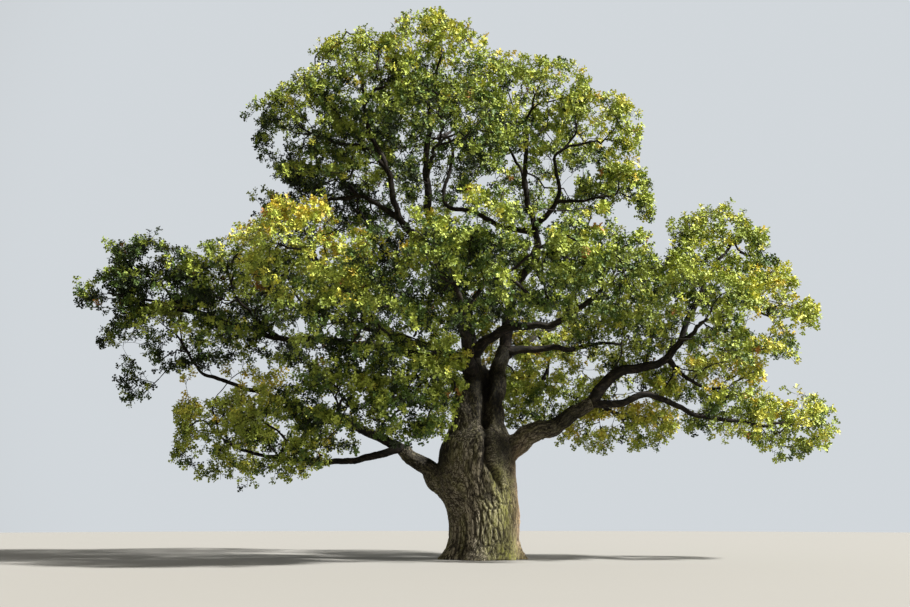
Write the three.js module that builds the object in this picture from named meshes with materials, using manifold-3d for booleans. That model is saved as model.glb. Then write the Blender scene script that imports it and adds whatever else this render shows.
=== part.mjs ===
// A full-grown field oak in early autumn, about 23 m high and 31 m across.
// Millimetres, +Z up. The foot of the trunk is centred on the origin and cut flat at z = 0.
// Named sizes are given in metres and turned to millimetres as each solid is made.
import * as THREE from "three";
import { mergeVertices } from "three/addons/utils/BufferGeometryUtils.js";
import Module from "manifold-3d";

const wasm = await Module();
wasm.setup();

const METRE = 1000;
const JOINT_GAP = 0.5; // clear space, in millimetres, where one solid meets the next
const TIP_GAP = 0.8; // the same between a limb's tip and the stem that goes on from it
const FINEST_DETAIL = 0.1; // edges shorter than this, in millimetres, are closed up
const HALF_TUBE = 0.499; // half of a tube of length 1, short of its very end
const WELD = 0.01; // vertices nearer than this, in millimetres, are one vertex

// Trunk: height, left edge and right edge, in metres, from the foot to the top of the fork
const TRUNK_LEVELS = [
  [0.0, -1.62, 1.7],
  [0.3, -1.42, 1.6],
  [0.7, -1.28, 1.56],
  [1.3, -1.24, 1.55],
  [1.9, -1.33, 1.52],
  [2.5, -1.64, 1.45],
  [3.2, -1.78, 1.41],
  [3.9, -1.72, 1.42],
  [4.5, -1.56, 1.3],
  [4.9, -1.3, 1.12],
  [5.2, -0.85, 0.75],
];
const TRUNK_SIDES = 20;
const TRUNK_DEPTH = 0.94; // front-to-back size as a share of the width
const ROOT_LOBES = 6;
const ROOT_LOBE_DEPTH = 0.1; // how far the root flare stands out and in at the ground
const ROOT_LOBE_HEIGHT = 0.9;

// Limbs: what each grows from, how far along it, the points it runs through and its two radii
const LIMB_SIDES = { thick: 8, thin: 5 };
const THICK_LIMB = 0.4; // root radius from which a limb counts as thick
const LIMB_STEP = 1.5; // metres of limb for each ring of its solid
const FEWEST_LIMB_STEPS = 3;
const LIMB_TAPER = 1.4;
const LIMBS = {
  stem_left: {
    start: [-0.65, 0, 4.2],
    through: [[-0.5, 0, 5.7], [-0.32, 0.1, 7.1], [-0.35, 0.3, 8.3]],
    radii: [0.85, 0.37],
  },
  stem_right: {
    start: [0.72, 0.1, 4.2],
    through: [[0.56, 0.15, 6.2], [0.68, 0.35, 7.2], [1.1, 0.8, 8.5]],
    radii: [0.58, 0.3],
  },
  leader_centre: {
    parent: "stem_left",
    at: 1,
    through: [[-0.7, 0.5, 10.3], [-1.4, 0.7, 12.3], [-2.2, 0.8, 15.1], [-2.1, 0.5, 18.6]],
    radii: [0.35, 0.12],
  },
  leader_left: {
    parent: "leader_centre",
    at: 0.36,
    through: [[-3.2, 0.6, 13.8], [-3.8, 0, 15.8], [-4.7, -0.3, 17.9]],
    radii: [0.2, 0.1],
  },
  bough_upper_left: {
    parent: "leader_left",
    at: 0.42,
    through: [[-4.9, 0.6, 15.0], [-6.2, 1.1, 15.1]],
    radii: [0.13, 0.08],
  },
  leader_right: {
    parent: "stem_right",
    at: 1,
    through: [[1.4, 1.4, 10.7], [2.6, 1.6, 13.4], [2.1, 1.5, 15.2], [2.1, 1.0, 17.4]],
    radii: [0.28, 0.1],
  },
  bough_upper_right: {
    parent: "leader_right",
    at: 0.63,
    through: [[3.0, 1.3, 14.5], [3.5, 1.0, 15.3], [3.3, 0.6, 16.6]],
    radii: [0.14, 0.08],
  },
  bough_right_spur: {
    parent: "bough_upper_right",
    at: 0.45,
    through: [[4.2, 0.8, 14.9], [5.0, 0.6, 15.0]],
    radii: [0.09, 0.06],
  },
  bough_curved: {
    parent: "leader_right",
    at: 0.6,
    through: [[1.3, 1.8, 14.0], [-0.1, 2.0, 14.7], [-1.4, 2.4, 15.3], [-1.1, 3.2, 17.8]],
    radii: [0.14, 0.08],
  },
  bough_low_right: {
    start: [0.7, 0, 3.9],
    through: [[1.4, 0, 4.4], [2.2, -0.1, 4.9], [3.4, -0.3, 5.5], [4.5, -0.5, 6.1]],
    radii: [0.55, 0.27],
  },
  bough_right_high: {
    parent: "bough_low_right",
    at: 1,
    through: [
      [4.9, -0.6, 6.8], [5.6, -0.6, 7.35], [6.7, -0.6, 7.5],
      [8.1, -0.4, 8.5], [8.6, -0.2, 9.7], [9.3, 0.1, 10.9],
    ],
    radii: [0.26, 0.1],
  },
  bough_right_low: {
    parent: "bough_low_right",
    at: 0.97,
    through: [[5.7, -0.8, 6.1], [6.4, -0.9, 6.4], [8.7, -0.8, 5.6], [11.2, -0.5, 5.2]],
    radii: [0.18, 0.07],
  },
  bough_right_mid: {
    parent: "bough_right_high",
    at: 0.52,
    through: [[8.1, -0.5, 7.3], [8.9, -0.4, 6.8]],
    radii: [0.12, 0.07],
  },
  bough_low_left: {
    start: [-1.0, 0, 2.5],
    through: [[-1.9, 0, 3.2], [-2.4, -0.1, 3.7], [-3.1, -0.35, 4.3]],
    radii: [0.5, 0.28],
  },
  bough_left_low: {
    parent: "bough_low_left",
    at: 1,
    through: [[-4.1, -0.6, 4.05], [-5.4, -0.5, 3.75], [-8.6, -0.1, 4.0]],
    radii: [0.18, 0.08],
  },
  bough_left_mid: {
    parent: "bough_low_left",
    at: 0.97,
    through: [[-4.5, -0.1, 5.0], [-6.5, 0.2, 5.8], [-8.6, 0.6, 6.5], [-11.2, 1.3, 7.4]],
    radii: [0.22, 0.08],
  },
  bough_left_high: {
    parent: "stem_left",
    at: 0.84,
    through: [[-3.3, 0.6, 8.4], [-5.8, 0.8, 8.8], [-8.6, 0.6, 9.0], [-12.0, 0.3, 10.1]],
    radii: [0.26, 0.09],
  },
  bough_mid_right_a: {
    parent: "stem_left",
    at: 0.94,
    through: [[0.3, -0.35, 8.7], [1.3, -0.8, 9.1], [2.9, -1.3, 9.2], [4.1, -2.1, 9.8]],
    radii: [0.24, 0.12],
  },
  bough_mid_right_b: {
    parent: "stem_right",
    at: 0.96,
    through: [[3.1, 0.6, 8.55], [3.8, 0.5, 8.4], [4.5, 0.6, 8.6]],
    radii: [0.2, 0.1],
  },
  bough_front: {
    parent: "stem_left",
    at: 0.78,
    through: [[-0.6, -2.2, 8.5], [-0.8, -5.2, 9.3]],
    radii: [0.25, 0.12],
  },
  bough_front_left: {
    parent: "stem_left",
    at: 0.6,
    through: [[-2.0, -1.6, 7.6], [-3.6, -2.9, 8.6], [-5.1, -3.9, 10.0]],
    radii: [0.25, 0.11],
  },
  bough_back: {
    parent: "leader_centre",
    at: 0.1,
    through: [[-1.0, 3.0, 10.3], [-1.2, 5.6, 11.1], [-1.2, 7.4, 11.7]],
    radii: [0.25, 0.12],
  },
  bough_back_left: {
    parent: "stem_left",
    at: 0.9,
    through: [[-2.6, 2.4, 9.0], [-4.8, 4.4, 10.0], [-6.2, 5.4, 10.5]],
    radii: [0.24, 0.11],
  },
  bough_back_right: {
    parent: "stem_right",
    at: 0.9,
    through: [[2.2, 2.4, 9.1], [3.4, 4.3, 10.1], [4.2, 5.4, 10.8]],
    radii: [0.22, 0.11],
  },
};

// Masses of foliage: the limb that carries each, how far along it, the centre of the mass's own
// space and how far that space reaches from it along X, Y and Z
const MASSES = {
  crown_top: { limb: "leader_centre", at: 1, centre: [-1.6, 0, 21.1], reach: [3.0, 3.2, 2.4] },
  crown_front: {
    limb: "leader_centre", at: 0.7, centre: [-1.4, -4.0, 16.0], reach: [3.4, 3.2, 3.0],
  },
  crown_back: { limb: "bough_curved", at: 1, centre: [-2.4, 5.6, 19.6], reach: [3.8, 3.8, 3.3] },
  crown_top_left: {
    limb: "leader_left", at: 1, centre: [-4.9, -0.5, 19.6], reach: [3.1, 3.4, 2.5],
  },
  crown_upper_left: {
    limb: "leader_left", at: 0.7, centre: [-7.4, -0.4, 17.5], reach: [3.0, 3.4, 2.6],
  },
  crown_back_left: {
    limb: "bough_upper_left", at: 0.5, centre: [-5.9, 4.8, 17.3], reach: [3.6, 3.6, 3.2],
  },
  crown_left_shoulder: {
    limb: "bough_upper_left", at: 1, centre: [-7.2, 1.2, 15.0], reach: [3.1, 3.4, 2.4],
  },
  crown_top_right: {
    limb: "leader_right", at: 1, centre: [2.3, -0.5, 18.9], reach: [3.2, 3.6, 2.6],
  },
  crown_back_right: {
    limb: "leader_right", at: 0.78, centre: [2.4, 5.6, 17.6], reach: [3.8, 3.8, 3.3],
  },
  crown_upper_right: {
    limb: "bough_upper_right", at: 1, centre: [4.7, 0, 17.3], reach: [3.0, 3.6, 2.8],
  },
  crown_right_spur: {
    limb: "bough_right_spur", at: 1, centre: [5.7, 0.2, 15.0], reach: [2.2, 2.6, 1.7],
  },
  front_centre: { limb: "bough_front", at: 1, centre: [-1.8, -7.4, 10.2], reach: [3.1, 3.0, 2.4] },
  front_right: { limb: "bough_front", at: 0.8, centre: [1.7, -6.2, 10.8], reach: [3.1, 3.1, 2.5] },
  right_centre: {
    limb: "bough_mid_right_a", at: 1, centre: [4.8, -3.2, 11.3], reach: [3.0, 3.2, 2.5],
  },
  mid_right: { limb: "bough_mid_right_b", at: 1, centre: [6.0, 1.0, 8.7], reach: [2.6, 3.1, 2.2] },
  front_left: {
    limb: "bough_front_left", at: 1, centre: [-6.3, -4.8, 11.3], reach: [3.1, 3.1, 2.5],
  },
  front_left_low: {
    limb: "bough_front_left", at: 0.7, centre: [-4.3, -6.4, 8.1], reach: [3.0, 2.8, 2.2],
  },
  low_left_inner: {
    limb: "bough_front_left", at: 0.35, centre: [-2.8, -4.2, 6.0], reach: [1.8, 2.2, 2.0],
  },
  low_left_front: {
    limb: "bough_left_mid", at: 0.15, centre: [-5.2, -4.6, 5.6], reach: [2.4, 2.6, 2.1],
  },
  low_left_mid: {
    limb: "bough_left_low", at: 0.6, centre: [-7.6, -2.4, 4.7], reach: [2.4, 2.8, 2.1],
  },
  low_left_outer: {
    limb: "bough_left_low", at: 1, centre: [-10.6, 0.3, 4.9], reach: [2.5, 3.3, 2.3],
  },
  left_arm_under: {
    limb: "bough_left_mid", at: 1, centre: [-12.8, 1.2, 9.2], reach: [3.1, 3.4, 2.2],
  },
  left_arm_root: {
    limb: "bough_left_high", at: 0.66, centre: [-10.0, -0.8, 10.6], reach: [3.0, 3.4, 2.5],
  },
  left_arm_crest: {
    limb: "bough_left_high", at: 1, centre: [-13.3, 0.2, 11.3], reach: [2.6, 3.3, 2.3],
  },
  left_arm_tip: {
    limb: "bough_left_high", at: 0.9, centre: [-15.2, -0.6, 10.6], reach: [2.0, 2.4, 1.8],
  },
  right_arm_dome: {
    limb: "bough_right_high", at: 1, centre: [10.0, 0.5, 12.2], reach: [3.2, 3.7, 2.6],
  },
  right_arm_shoulder: {
    limb: "bough_right_high", at: 0.86, centre: [12.4, 1.1, 9.9], reach: [2.4, 3.2, 2.6],
  },
  right_arm_front: {
    limb: "bough_right_high", at: 0.6, centre: [8.6, -3.3, 9.0], reach: [2.6, 2.9, 2.2],
  },
  right_arm_low: {
    limb: "bough_right_mid", at: 1, centre: [9.9, -0.5, 6.8], reach: [2.9, 3.0, 1.8],
  },
  right_arm_tip: { limb: "bough_right_low", at: 1, centre: [12.6, 0, 5.4], reach: [2.2, 2.9, 2.0] },
  low_right_fringe: {
    limb: "bough_low_right", at: 0.9, centre: [6.1, 1.8, 5.5], reach: [2.9, 2.5, 1.3],
  },
  back_left: { limb: "bough_back_left", at: 1, centre: [-8.3, 6.4, 11.6], reach: [3.8, 3.8, 3.2] },
  back_centre: { limb: "bough_back", at: 1, centre: [-1.3, 9.2, 13.2], reach: [4.3, 4.0, 3.7] },
  back_right: { limb: "bough_back_right", at: 1, centre: [6.2, 6.4, 12.2], reach: [3.9, 3.8, 3.0] },
  low_back: { limb: "bough_back_right", at: 0.5, centre: [3.2, 4.8, 7.5], reach: [2.9, 3.0, 2.4] },
};

// Growth inside a mass: one stem, a few long twigs from it, and leaves from each twig's end and,
// in turn, from its three sides. A leaf is larger than life, because it stands for a whole spray.
const STEM_RADII = [0.1, 0.085];
const STEM_SIDES = 4;
const STEM_STEPS = 2;
const STEM_BEND = 0.35; // how far the stem runs on along its limb's line before it turns
const FORKS = [0.97, 0.74]; // the stretch of the stem that twigs leave from
const TWIG_RADII = [0.05, 0.042];
const TWIG_SIDES = 3;
const TWIGS_PER_METRE = 1.25; // of the mass's mean reach
const TWIG_REACHES = [0.44, 0.35, 0.26]; // shares of the space that a twig tries to grow out to
const LEAVES_PER_TWIG = 4;
const LEAF_PLACES = [1, 0.84, 0.68, 0.52, 0.92, 0.4]; // shares of the twig, the first its end
const LEAF_LENGTH = 0.87; // share of the mass's mean reach
const LEAF_LENGTH_LIMITS = [1.0, 2.4];
const LEAF_TRIES = [1.15, 1, 0.85, 0.7]; // lengths tried until a leaf fits, as shares of the usual one
const END_LEAF = 0.7; // length of the leaf at a twig's end beside the others
const LEAF_WIDTH = 1; // share of the leaf's length
const LEAF_THICKNESS = 0.07;
const LEAF_WIDEST = 0.58; // where along its length the leaf is widest
const LEAF_TILT = [0.6, 1.5]; // radians between a side leaf and its twig
const LEAF_ROLL = 0.45; // radians that a leaf rolls about its own line, either way
const LEAF_SINK = 0.014; // how far past the twig's heart a leaf's root reaches
const SPACE_SKIN = 1; // how deep in its space, at most, the tip of a leaf lies
const SPACE_MARGIN = 0.01; // how much deeper in its own space than in the next one a point lies
const TEST_CLEARANCE = 0.02; // clear space that a twig or leaf is tested with
const TEST_ROOT = 0.15; // share of a leaf, at its root, that may meet its own twig

const BARK = new THREE.MeshStandardMaterial({ color: 0x4a4034, roughness: 0.95, metalness: 0 });
const LIMB_BARK = new THREE.MeshStandardMaterial({ color: 0x3a322a, roughness: 0.93, metalness: 0 });
const FOLIAGE = new THREE.MeshStandardMaterial({ color: 0x5c7530, roughness: 0.7, metalness: 0 });

const GOLDEN_ANGLE = Math.PI * (3 - Math.sqrt(5));
const FIRST_SEED = 61;
const SEED_STEP = 37;

function vector([x, y, z]) {
  return new THREE.Vector3(x, y, z);
}

// The same run of numbers from 0 to 1 for the same seed
function seededRandom(seed) {
  let state = seed;
  return () => {
    state = (Math.imul(state, 1664525) + 1013904223) >>> 0;
    return state / 4294967296;
  };
}

function mix(range, share) {
  return range[0] + (range[1] - range[0]) * share;
}

// Turns a closed three.js geometry in metres into a solid in millimetres
function solidFrom(geometry) {
  geometry.deleteAttribute("normal");
  geometry.deleteAttribute("uv");
  geometry.scale(METRE, METRE, METRE);
  const welded = mergeVertices(geometry, WELD);
  return new wasm.Manifold(new wasm.Mesh({
    numProp: 3,
    vertProperties: new Float32Array(welded.attributes.position.array),
    triVerts: new Uint32Array(welded.index.array),
  }));
}

function geometryFrom(solid) {
  const mesh = solid.simplify(FINEST_DETAIL).getMesh();
  const geometry = new THREE.BufferGeometry();
  geometry.setAttribute("position", new THREE.BufferAttribute(mesh.vertProperties, 3));
  geometry.setIndex(new THREE.BufferAttribute(mesh.triVerts, 1));
  geometry.computeVertexNormals();
  return geometry;
}

// Loose scraps and sealed hollows are dropped by keeping only the largest body
function largestBody(solid) {
  const bodies = solid.decompose();
  return bodies.reduce((largest, body) => (body.volume() > largest.volume() ? body : largest));
}

function boxesMeet(first, second) {
  const a = first.boundingBox();
  const b = second.boundingBox();
  return [0, 1, 2].every((axis) => a.min[axis] <= b.max[axis] && b.min[axis] <= a.max[axis]);
}

function overlaps(first, second) {
  return boxesMeet(first, second) && !first.intersect(second).isEmpty();
}

function cutClear(solid, neighbours) {
  const near = neighbours.filter((neighbour) => boxesMeet(solid, neighbour));
  return largestBody(near.reduce((rest, neighbour) => rest.subtract(neighbour), solid));
}

// The world axis that a curve turns towards least, so that its rings never flip
function steadyAxis(curve) {
  const axes = [vector([1, 0, 0]), vector([0, 1, 0]), vector([0, 0, 1])];
  const tangents = [0, 0.25, 0.5, 0.75, 1].map((share) => curve.getTangentAt(share));
  const worst = (axis) => Math.max(...tangents.map((tangent) => Math.abs(tangent.dot(axis))));
  return axes.reduce((best, axis) => (worst(axis) < worst(best) ? axis : best));
}

// The direction across a curve at a share of its length and an angle round it
function roundDirection(curve, share, angle) {
  const along = curve.getTangentAt(share);
  const across = new THREE.Vector3().crossVectors(steadyAxis(curve), along).normalize();
  const third = new THREE.Vector3().crossVectors(across, along);
  return across.multiplyScalar(Math.sin(angle)).addScaledVector(third, Math.cos(angle));
}

// A closed tube along a curve; swell makes it fatter all over and longer at both ends
function tube(curve, radiusAt, sides, steps, swell = 0) {
  const geometry = new THREE.CylinderGeometry(1, 1, 1, sides, steps);
  const position = geometry.attributes.position;
  for (let index = 0; index < position.count; index += 1) {
    const local = new THREE.Vector3().fromBufferAttribute(position, index);
    const share = Math.min(1, Math.max(0, local.y + 0.5));
    const outward = roundDirection(curve, share, Math.atan2(local.x, local.z));
    const radius = Math.hypot(local.x, local.z) * (radiusAt(share) + swell);
    const endwise = Math.abs(local.y) > HALF_TUBE ? Math.sign(local.y) * swell : 0;
    const point = curve.getPointAt(share)
      .addScaledVector(outward, radius)
      .addScaledVector(curve.getTangentAt(share), endwise);
    position.setXYZ(index, point.x, point.y, point.z);
  }
  return solidFrom(geometry);
}

// The trunk's rings follow its two edges and stand out in lobes where the roots begin
function trunkSolid(swell = 0) {
  const lastLevel = TRUNK_LEVELS.length - 1;
  const geometry = new THREE.CylinderGeometry(1, 1, 1, TRUNK_SIDES, lastLevel);
  const position = geometry.attributes.position;
  for (let index = 0; index < position.count; index += 1) {
    const x = position.getX(index);
    const z = position.getZ(index);
    const level = Math.round((position.getY(index) + 0.5) * lastLevel);
    const [height, left, right] = TRUNK_LEVELS[level];
    const angle = Math.atan2(x, z);
    const flare = Math.max(0, 1 - height / ROOT_LOBE_HEIGHT) * ROOT_LOBE_DEPTH;
    const halfWidth = ((right - left) / 2) * (1 + flare * Math.cos(ROOT_LOBES * angle)) + swell;
    const top = level === lastLevel ? swell : 0;
    position.setXYZ(
      index,
      (left + right) / 2 + x * halfWidth,
      -z * halfWidth * TRUNK_DEPTH,
      height + top,
    );
  }
  return solidFrom(geometry);
}

function limbCurve(name) {
  const limb = LIMBS[name];
  const start = limb.parent ? limbCurve(limb.parent).getPointAt(limb.at) : vector(limb.start);
  return new THREE.CatmullRomCurve3([start, ...limb.through.map(vector)], false, "centripetal");
}

function limbSolid(name, swell = 0) {
  const curve = limbCurve(name);
  const [root, tip] = LIMBS[name].radii;
  const steps = Math.max(FEWEST_LIMB_STEPS, Math.round(curve.getLength() / LIMB_STEP));
  const radiusAt = (share) => tip + (root - tip) * (1 - share) ** LIMB_TAPER;
  const sides = root > THICK_LIMB ? LIMB_SIDES.thick : LIMB_SIDES.thin;
  return tube(curve, radiusAt, sides, steps, swell);
}

// A pointed blade of eight faces along its heading; bare leaves its root out by a share of it
function leafSolid({ root, heading, face, length }, swell = 0, bare = 0) {
  const across = new THREE.Vector3().crossVectors(face, heading).normalize();
  const upright = new THREE.Vector3().crossVectors(heading, across);
  const geometry = new THREE.OctahedronGeometry(1);
  const position = geometry.attributes.position;
  for (let index = 0; index < position.count; index += 1) {
    const local = new THREE.Vector3().fromBufferAttribute(position, index);
    const isSide = Math.abs(local.x) < 0.5;
    const along = isSide ? LEAF_WIDEST * length : local.x > 0 ? length + swell : bare * length;
    const point = root.clone()
      .addScaledVector(heading, along)
      .addScaledVector(across, local.y * ((length * LEAF_WIDTH) / 2 + swell))
      .addScaledVector(upright, local.z * (LEAF_THICKNESS / 2 + swell));
    position.setXYZ(index, point.x, point.y, point.z);
  }
  return solidFrom(geometry);
}

// How deep a point lies in a mass's space: 0 at its centre and 1 on its skin
function depthIn(mass, point) {
  const [x, y, z] = mass.centre;
  const [reachX, reachY, reachZ] = mass.reach;
  return Math.hypot((point.x - x) / reachX, (point.y - y) / reachY, (point.z - z) / reachZ);
}

function isOwnSpace(mass, point) {
  const own = depthIn(mass, point);
  const others = Object.values(MASSES).filter((other) => other !== mass);
  return own < SPACE_SKIN && others.every((other) => depthIn(other, point) > own + SPACE_MARGIN);
}

function leafStaysInside(mass, { root, heading, face, length }) {
  const across = new THREE.Vector3().crossVectors(face, heading).normalize();
  const middle = root.clone().addScaledVector(heading, length * LEAF_WIDEST);
  const corners = [-1, 1].map((side) => (
    middle.clone().addScaledVector(across, (side * length * LEAF_WIDTH) / 2)
  ));
  corners.push(root.clone().addScaledVector(heading, length));
  return corners.every((corner) => isOwnSpace(mass, corner));
}

// The stem leaves its limb along the limb's own line, a gap past its tip, and bends into the mass
function stemCurve(mass) {
  const carrier = limbCurve(mass.limb);
  const onward = carrier.getTangentAt(mass.at);
  const start = carrier.getPointAt(mass.at);
  if (mass.at === 1) start.addScaledVector(onward, TIP_GAP / METRE);
  const centre = vector(mass.centre);
  const bend = start.clone().addScaledVector(onward, start.distanceTo(centre) * STEM_BEND);
  return new THREE.QuadraticBezierCurve3(start, bend, centre);
}

function stemSolid(mass, swell = 0) {
  const radiusAt = (share) => mix(STEM_RADII, share);
  return tube(stemCurve(mass), radiusAt, STEM_SIDES, STEM_STEPS, swell);
}

function twigSolid(curve, swell = 0) {
  return tube(curve, (share) => mix(TWIG_RADII, share), TWIG_SIDES, 1, swell);
}

// Even directions round a pole, with the gap on its far side, where the stem comes in
function spiralDirections(count, pole, turn) {
  const upright = new THREE.Quaternion().setFromUnitVectors(vector([0, 0, 1]), pole);
  return Array.from({ length: count }, (_, index) => {
    const height = 1 - (2 * index + 1) / (count + 1);
    const radius = Math.sqrt(1 - height * height);
    const angle = index * GOLDEN_ANGLE + turn;
    const direction = vector([Math.cos(angle) * radius, Math.sin(angle) * radius, height]);
    return direction.applyQuaternion(upright);
  });
}

function leafOnTwig(twig, place, side, length, random) {
  const outward = twig.getTangentAt(1);
  const isEnd = place === 1;
  const tilt = isEnd ? 0 : mix(LEAF_TILT, random());
  const spread = roundDirection(twig, 1, ((side + 0.5) * 2 * Math.PI) / TWIG_SIDES);
  const heading = outward.clone().multiplyScalar(Math.cos(tilt))
    .addScaledVector(spread, Math.sin(tilt));
  const roll = mix([-LEAF_ROLL, LEAF_ROLL], random());
  const face = (isEnd ? spread : outward).clone().applyAxisAngle(heading, roll);
  const root = twig.getPointAt(place).addScaledVector(heading, -LEAF_SINK * (isEnd ? 2 : 1));
  return { root, heading, face, length: length * (isEnd ? END_LEAF : 1) };
}

function massSolid(mass, seed, stem, obstacles) {
  const random = seededRandom(seed);
  const centre = vector(mass.centre);
  const reach = vector(mass.reach);
  const meanReach = (reach.x + reach.y + reach.z) / 3;
  const leafLength = THREE.MathUtils.clamp(LEAF_LENGTH * meanReach, ...LEAF_LENGTH_LIMITS);
  const curve = stemCurve(mass);
  const twigCount = Math.round(meanReach * TWIGS_PER_METRE);
  const directions = spiralDirections(twigCount, curve.getTangentAt(1), random() * 2 * Math.PI);
  const grown = [];
  directions.forEach((direction, order) => {
    const fork = curve.getPointAt(mix(FORKS, order / twigCount));
    const ends = TWIG_REACHES.map((share) => (
      direction.clone().multiply(reach).multiplyScalar(share).add(centre)
    ));
    const end = ends.find((point) => isOwnSpace(mass, point));
    if (!end) return;
    const twig = new THREE.LineCurve3(fork, end);
    const others = [...obstacles, ...grown];
    const isClear = (solid) => !others.some((other) => overlaps(solid, other));
    if (!isClear(twigSolid(twig, TEST_CLEARANCE))) return;
    const leaves = [];
    LEAF_PLACES.forEach((place, index) => {
      if (leaves.length === LEAVES_PER_TWIG) return;
      const tries = LEAF_TRIES.map((share) => (
        leafOnTwig(twig, place, index % TWIG_SIDES, leafLength * share, random)
      ));
      const leaf = tries.find((candidate) => (
        leafStaysInside(mass, candidate)
          && isClear(leafSolid(candidate, TEST_CLEARANCE, TEST_ROOT))
      ));
      if (!leaf) return;
      leaves.push(leafSolid(leaf));
      others.push(leaves.at(-1));
    });
    if (leaves.length > 0) grown.push(twigSolid(twig), ...leaves);
  });
  return largestBody(grown.reduce((whole, piece) => whole.add(piece), stem));
}

function addPart(tree, name, solid, material) {
  const mesh = new THREE.Mesh(geometryFrom(solid), material);
  mesh.name = name;
  tree.add(mesh);
}

function buildOak() {
  const tree = new THREE.Group();
  const gap = JOINT_GAP / METRE;
  addPart(tree, "trunk", trunkSolid(), BARK);
  const grownWood = [trunkSolid(gap)];
  const wood = [trunkSolid()];
  for (const name of Object.keys(LIMBS)) {
    const limb = cutClear(limbSolid(name), grownWood);
    addPart(tree, name, limb, LIMB_BARK);
    grownWood.push(limbSolid(name, gap));
    wood.push(limb);
  }
  const stems = {};
  for (const [name, mass] of Object.entries(MASSES)) {
    stems[name] = cutClear(stemSolid(mass), grownWood);
    grownWood.push(stemSolid(mass, gap));
  }
  const foliage = {};
  Object.entries(MASSES).forEach(([name, mass], index) => {
    const otherStems = Object.keys(MASSES).filter((other) => other !== name && !foliage[other]);
    const obstacles = [
      ...wood,
      ...otherStems.map((other) => stems[other]),
      ...Object.values(foliage),
    ];
    foliage[name] = massSolid(mass, FIRST_SEED + SEED_STEP * index, stems[name], obstacles);
    addPart(tree, name, foliage[name], FOLIAGE);
  });
  return tree;
}

export default buildOak();
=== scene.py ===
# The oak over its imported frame: bark with relief on the trunk and boughs,
# then branches, twigs and leaves that grow on from the limbs in every mass of foliage.
import math
import bpy
import numpy as np
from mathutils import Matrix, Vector, kdtree, noise


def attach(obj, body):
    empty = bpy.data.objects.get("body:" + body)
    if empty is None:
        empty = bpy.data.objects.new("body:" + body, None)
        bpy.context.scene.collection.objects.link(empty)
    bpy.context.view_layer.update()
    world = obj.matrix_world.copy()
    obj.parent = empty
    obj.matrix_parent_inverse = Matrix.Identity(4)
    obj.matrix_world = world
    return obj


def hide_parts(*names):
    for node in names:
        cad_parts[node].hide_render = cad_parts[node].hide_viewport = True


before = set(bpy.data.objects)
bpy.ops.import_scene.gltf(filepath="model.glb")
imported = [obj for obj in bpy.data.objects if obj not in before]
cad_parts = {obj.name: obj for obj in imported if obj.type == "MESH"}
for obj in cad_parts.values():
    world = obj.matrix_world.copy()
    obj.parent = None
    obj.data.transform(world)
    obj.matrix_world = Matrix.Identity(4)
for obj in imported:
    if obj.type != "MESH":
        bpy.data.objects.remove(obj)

noise.seed_set(5)  # or the bark would wind another way in each run
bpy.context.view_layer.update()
print("oak: frame loaded,", len(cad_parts), "nodes")


# small helpers used everywhere

def linearColour(hexText):
    # sRGB hex to the linear red, green, blue, alpha that Blender's sockets want
    channels = [int(hexText[i:i + 2], 16) / 255 for i in (1, 3, 5)]
    linear = [c / 12.92 if c <= 0.04045 else ((c + 0.055) / 1.055) ** 2.4 for c in channels]
    return (*linear, 1.0)


def addNode(tree, kind, settings=None, links=None):
    # settings: node properties by name, or input values by socket name or number
    # links: input socket -> output socket that feeds it
    node = tree.nodes.new(kind)
    for key, value in (settings or {}).items():
        if isinstance(key, str) and hasattr(node, key):
            setattr(node, key, value)
        else:
            node.inputs[key].default_value = value
    for key, source in (links or {}).items():
        tree.links.new(source, node.inputs[key])
    return node


def newMaterial(name):
    material = bpy.data.materials.new(name)
    material.use_nodes = True
    material.node_tree.nodes.clear()
    return material, material.node_tree


def plainMaterial(name, hexText, roughness, ior=1.45, specular=0.3):
    material, tree = newMaterial(name)
    shader = addNode(tree, "ShaderNodeBsdfPrincipled", {"Base Color": linearColour(hexText),
        "Roughness": roughness, "IOR": ior, "Specular IOR Level": specular})
    addNode(tree, "ShaderNodeOutputMaterial", None, {"Surface": shader.outputs["BSDF"]})
    return material


def unit(vectors):
    length = np.linalg.norm(vectors, axis=-1, keepdims=True)
    return vectors / np.maximum(length, 1e-9)


def joinParts(parts):
    # each part: its points, then arrays of faces with one count of corners each
    points, corners, sizes, offset = [], [], [], 0
    for partPoints, *faceSets in parts:
        for faces in faceSets:
            corners.append((faces + offset).ravel())
            sizes.append(np.full(len(faces), faces.shape[1]))
        points.append(partPoints)
        offset += len(partPoints)
    return np.vstack(points), np.concatenate(corners), np.concatenate(sizes)


def addPiece(name, data):
    piece = bpy.data.objects.new(name, data)
    bpy.context.scene.collection.objects.link(piece)
    return piece


def meshObject(name, points, corners, sizes, materials, slots=None, smooth=True):
    # corners: point numbers of all faces in a row, sizes: how many corners each face has
    mesh = bpy.data.meshes.new(name)
    mesh.vertices.add(len(points))
    mesh.vertices.foreach_set("co", np.asarray(points, dtype=np.float32).ravel())
    mesh.loops.add(len(corners))
    mesh.loops.foreach_set("vertex_index", np.asarray(corners, dtype=np.int32))
    starts = np.concatenate([[0], np.cumsum(sizes)[:-1]]).astype(np.int32)
    mesh.polygons.add(len(sizes))
    mesh.polygons.foreach_set("loop_start", starts)
    mesh.polygons.foreach_set("use_smooth", np.full(len(sizes), smooth))
    for material in materials:
        mesh.materials.append(material)
    if slots is not None:
        mesh.polygons.foreach_set("material_index", np.asarray(slots, dtype=np.int32))
    mesh.update(calc_edges=True)
    mesh.validate()
    return addPiece(name, mesh)


# camera, at the photo's angle

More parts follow.
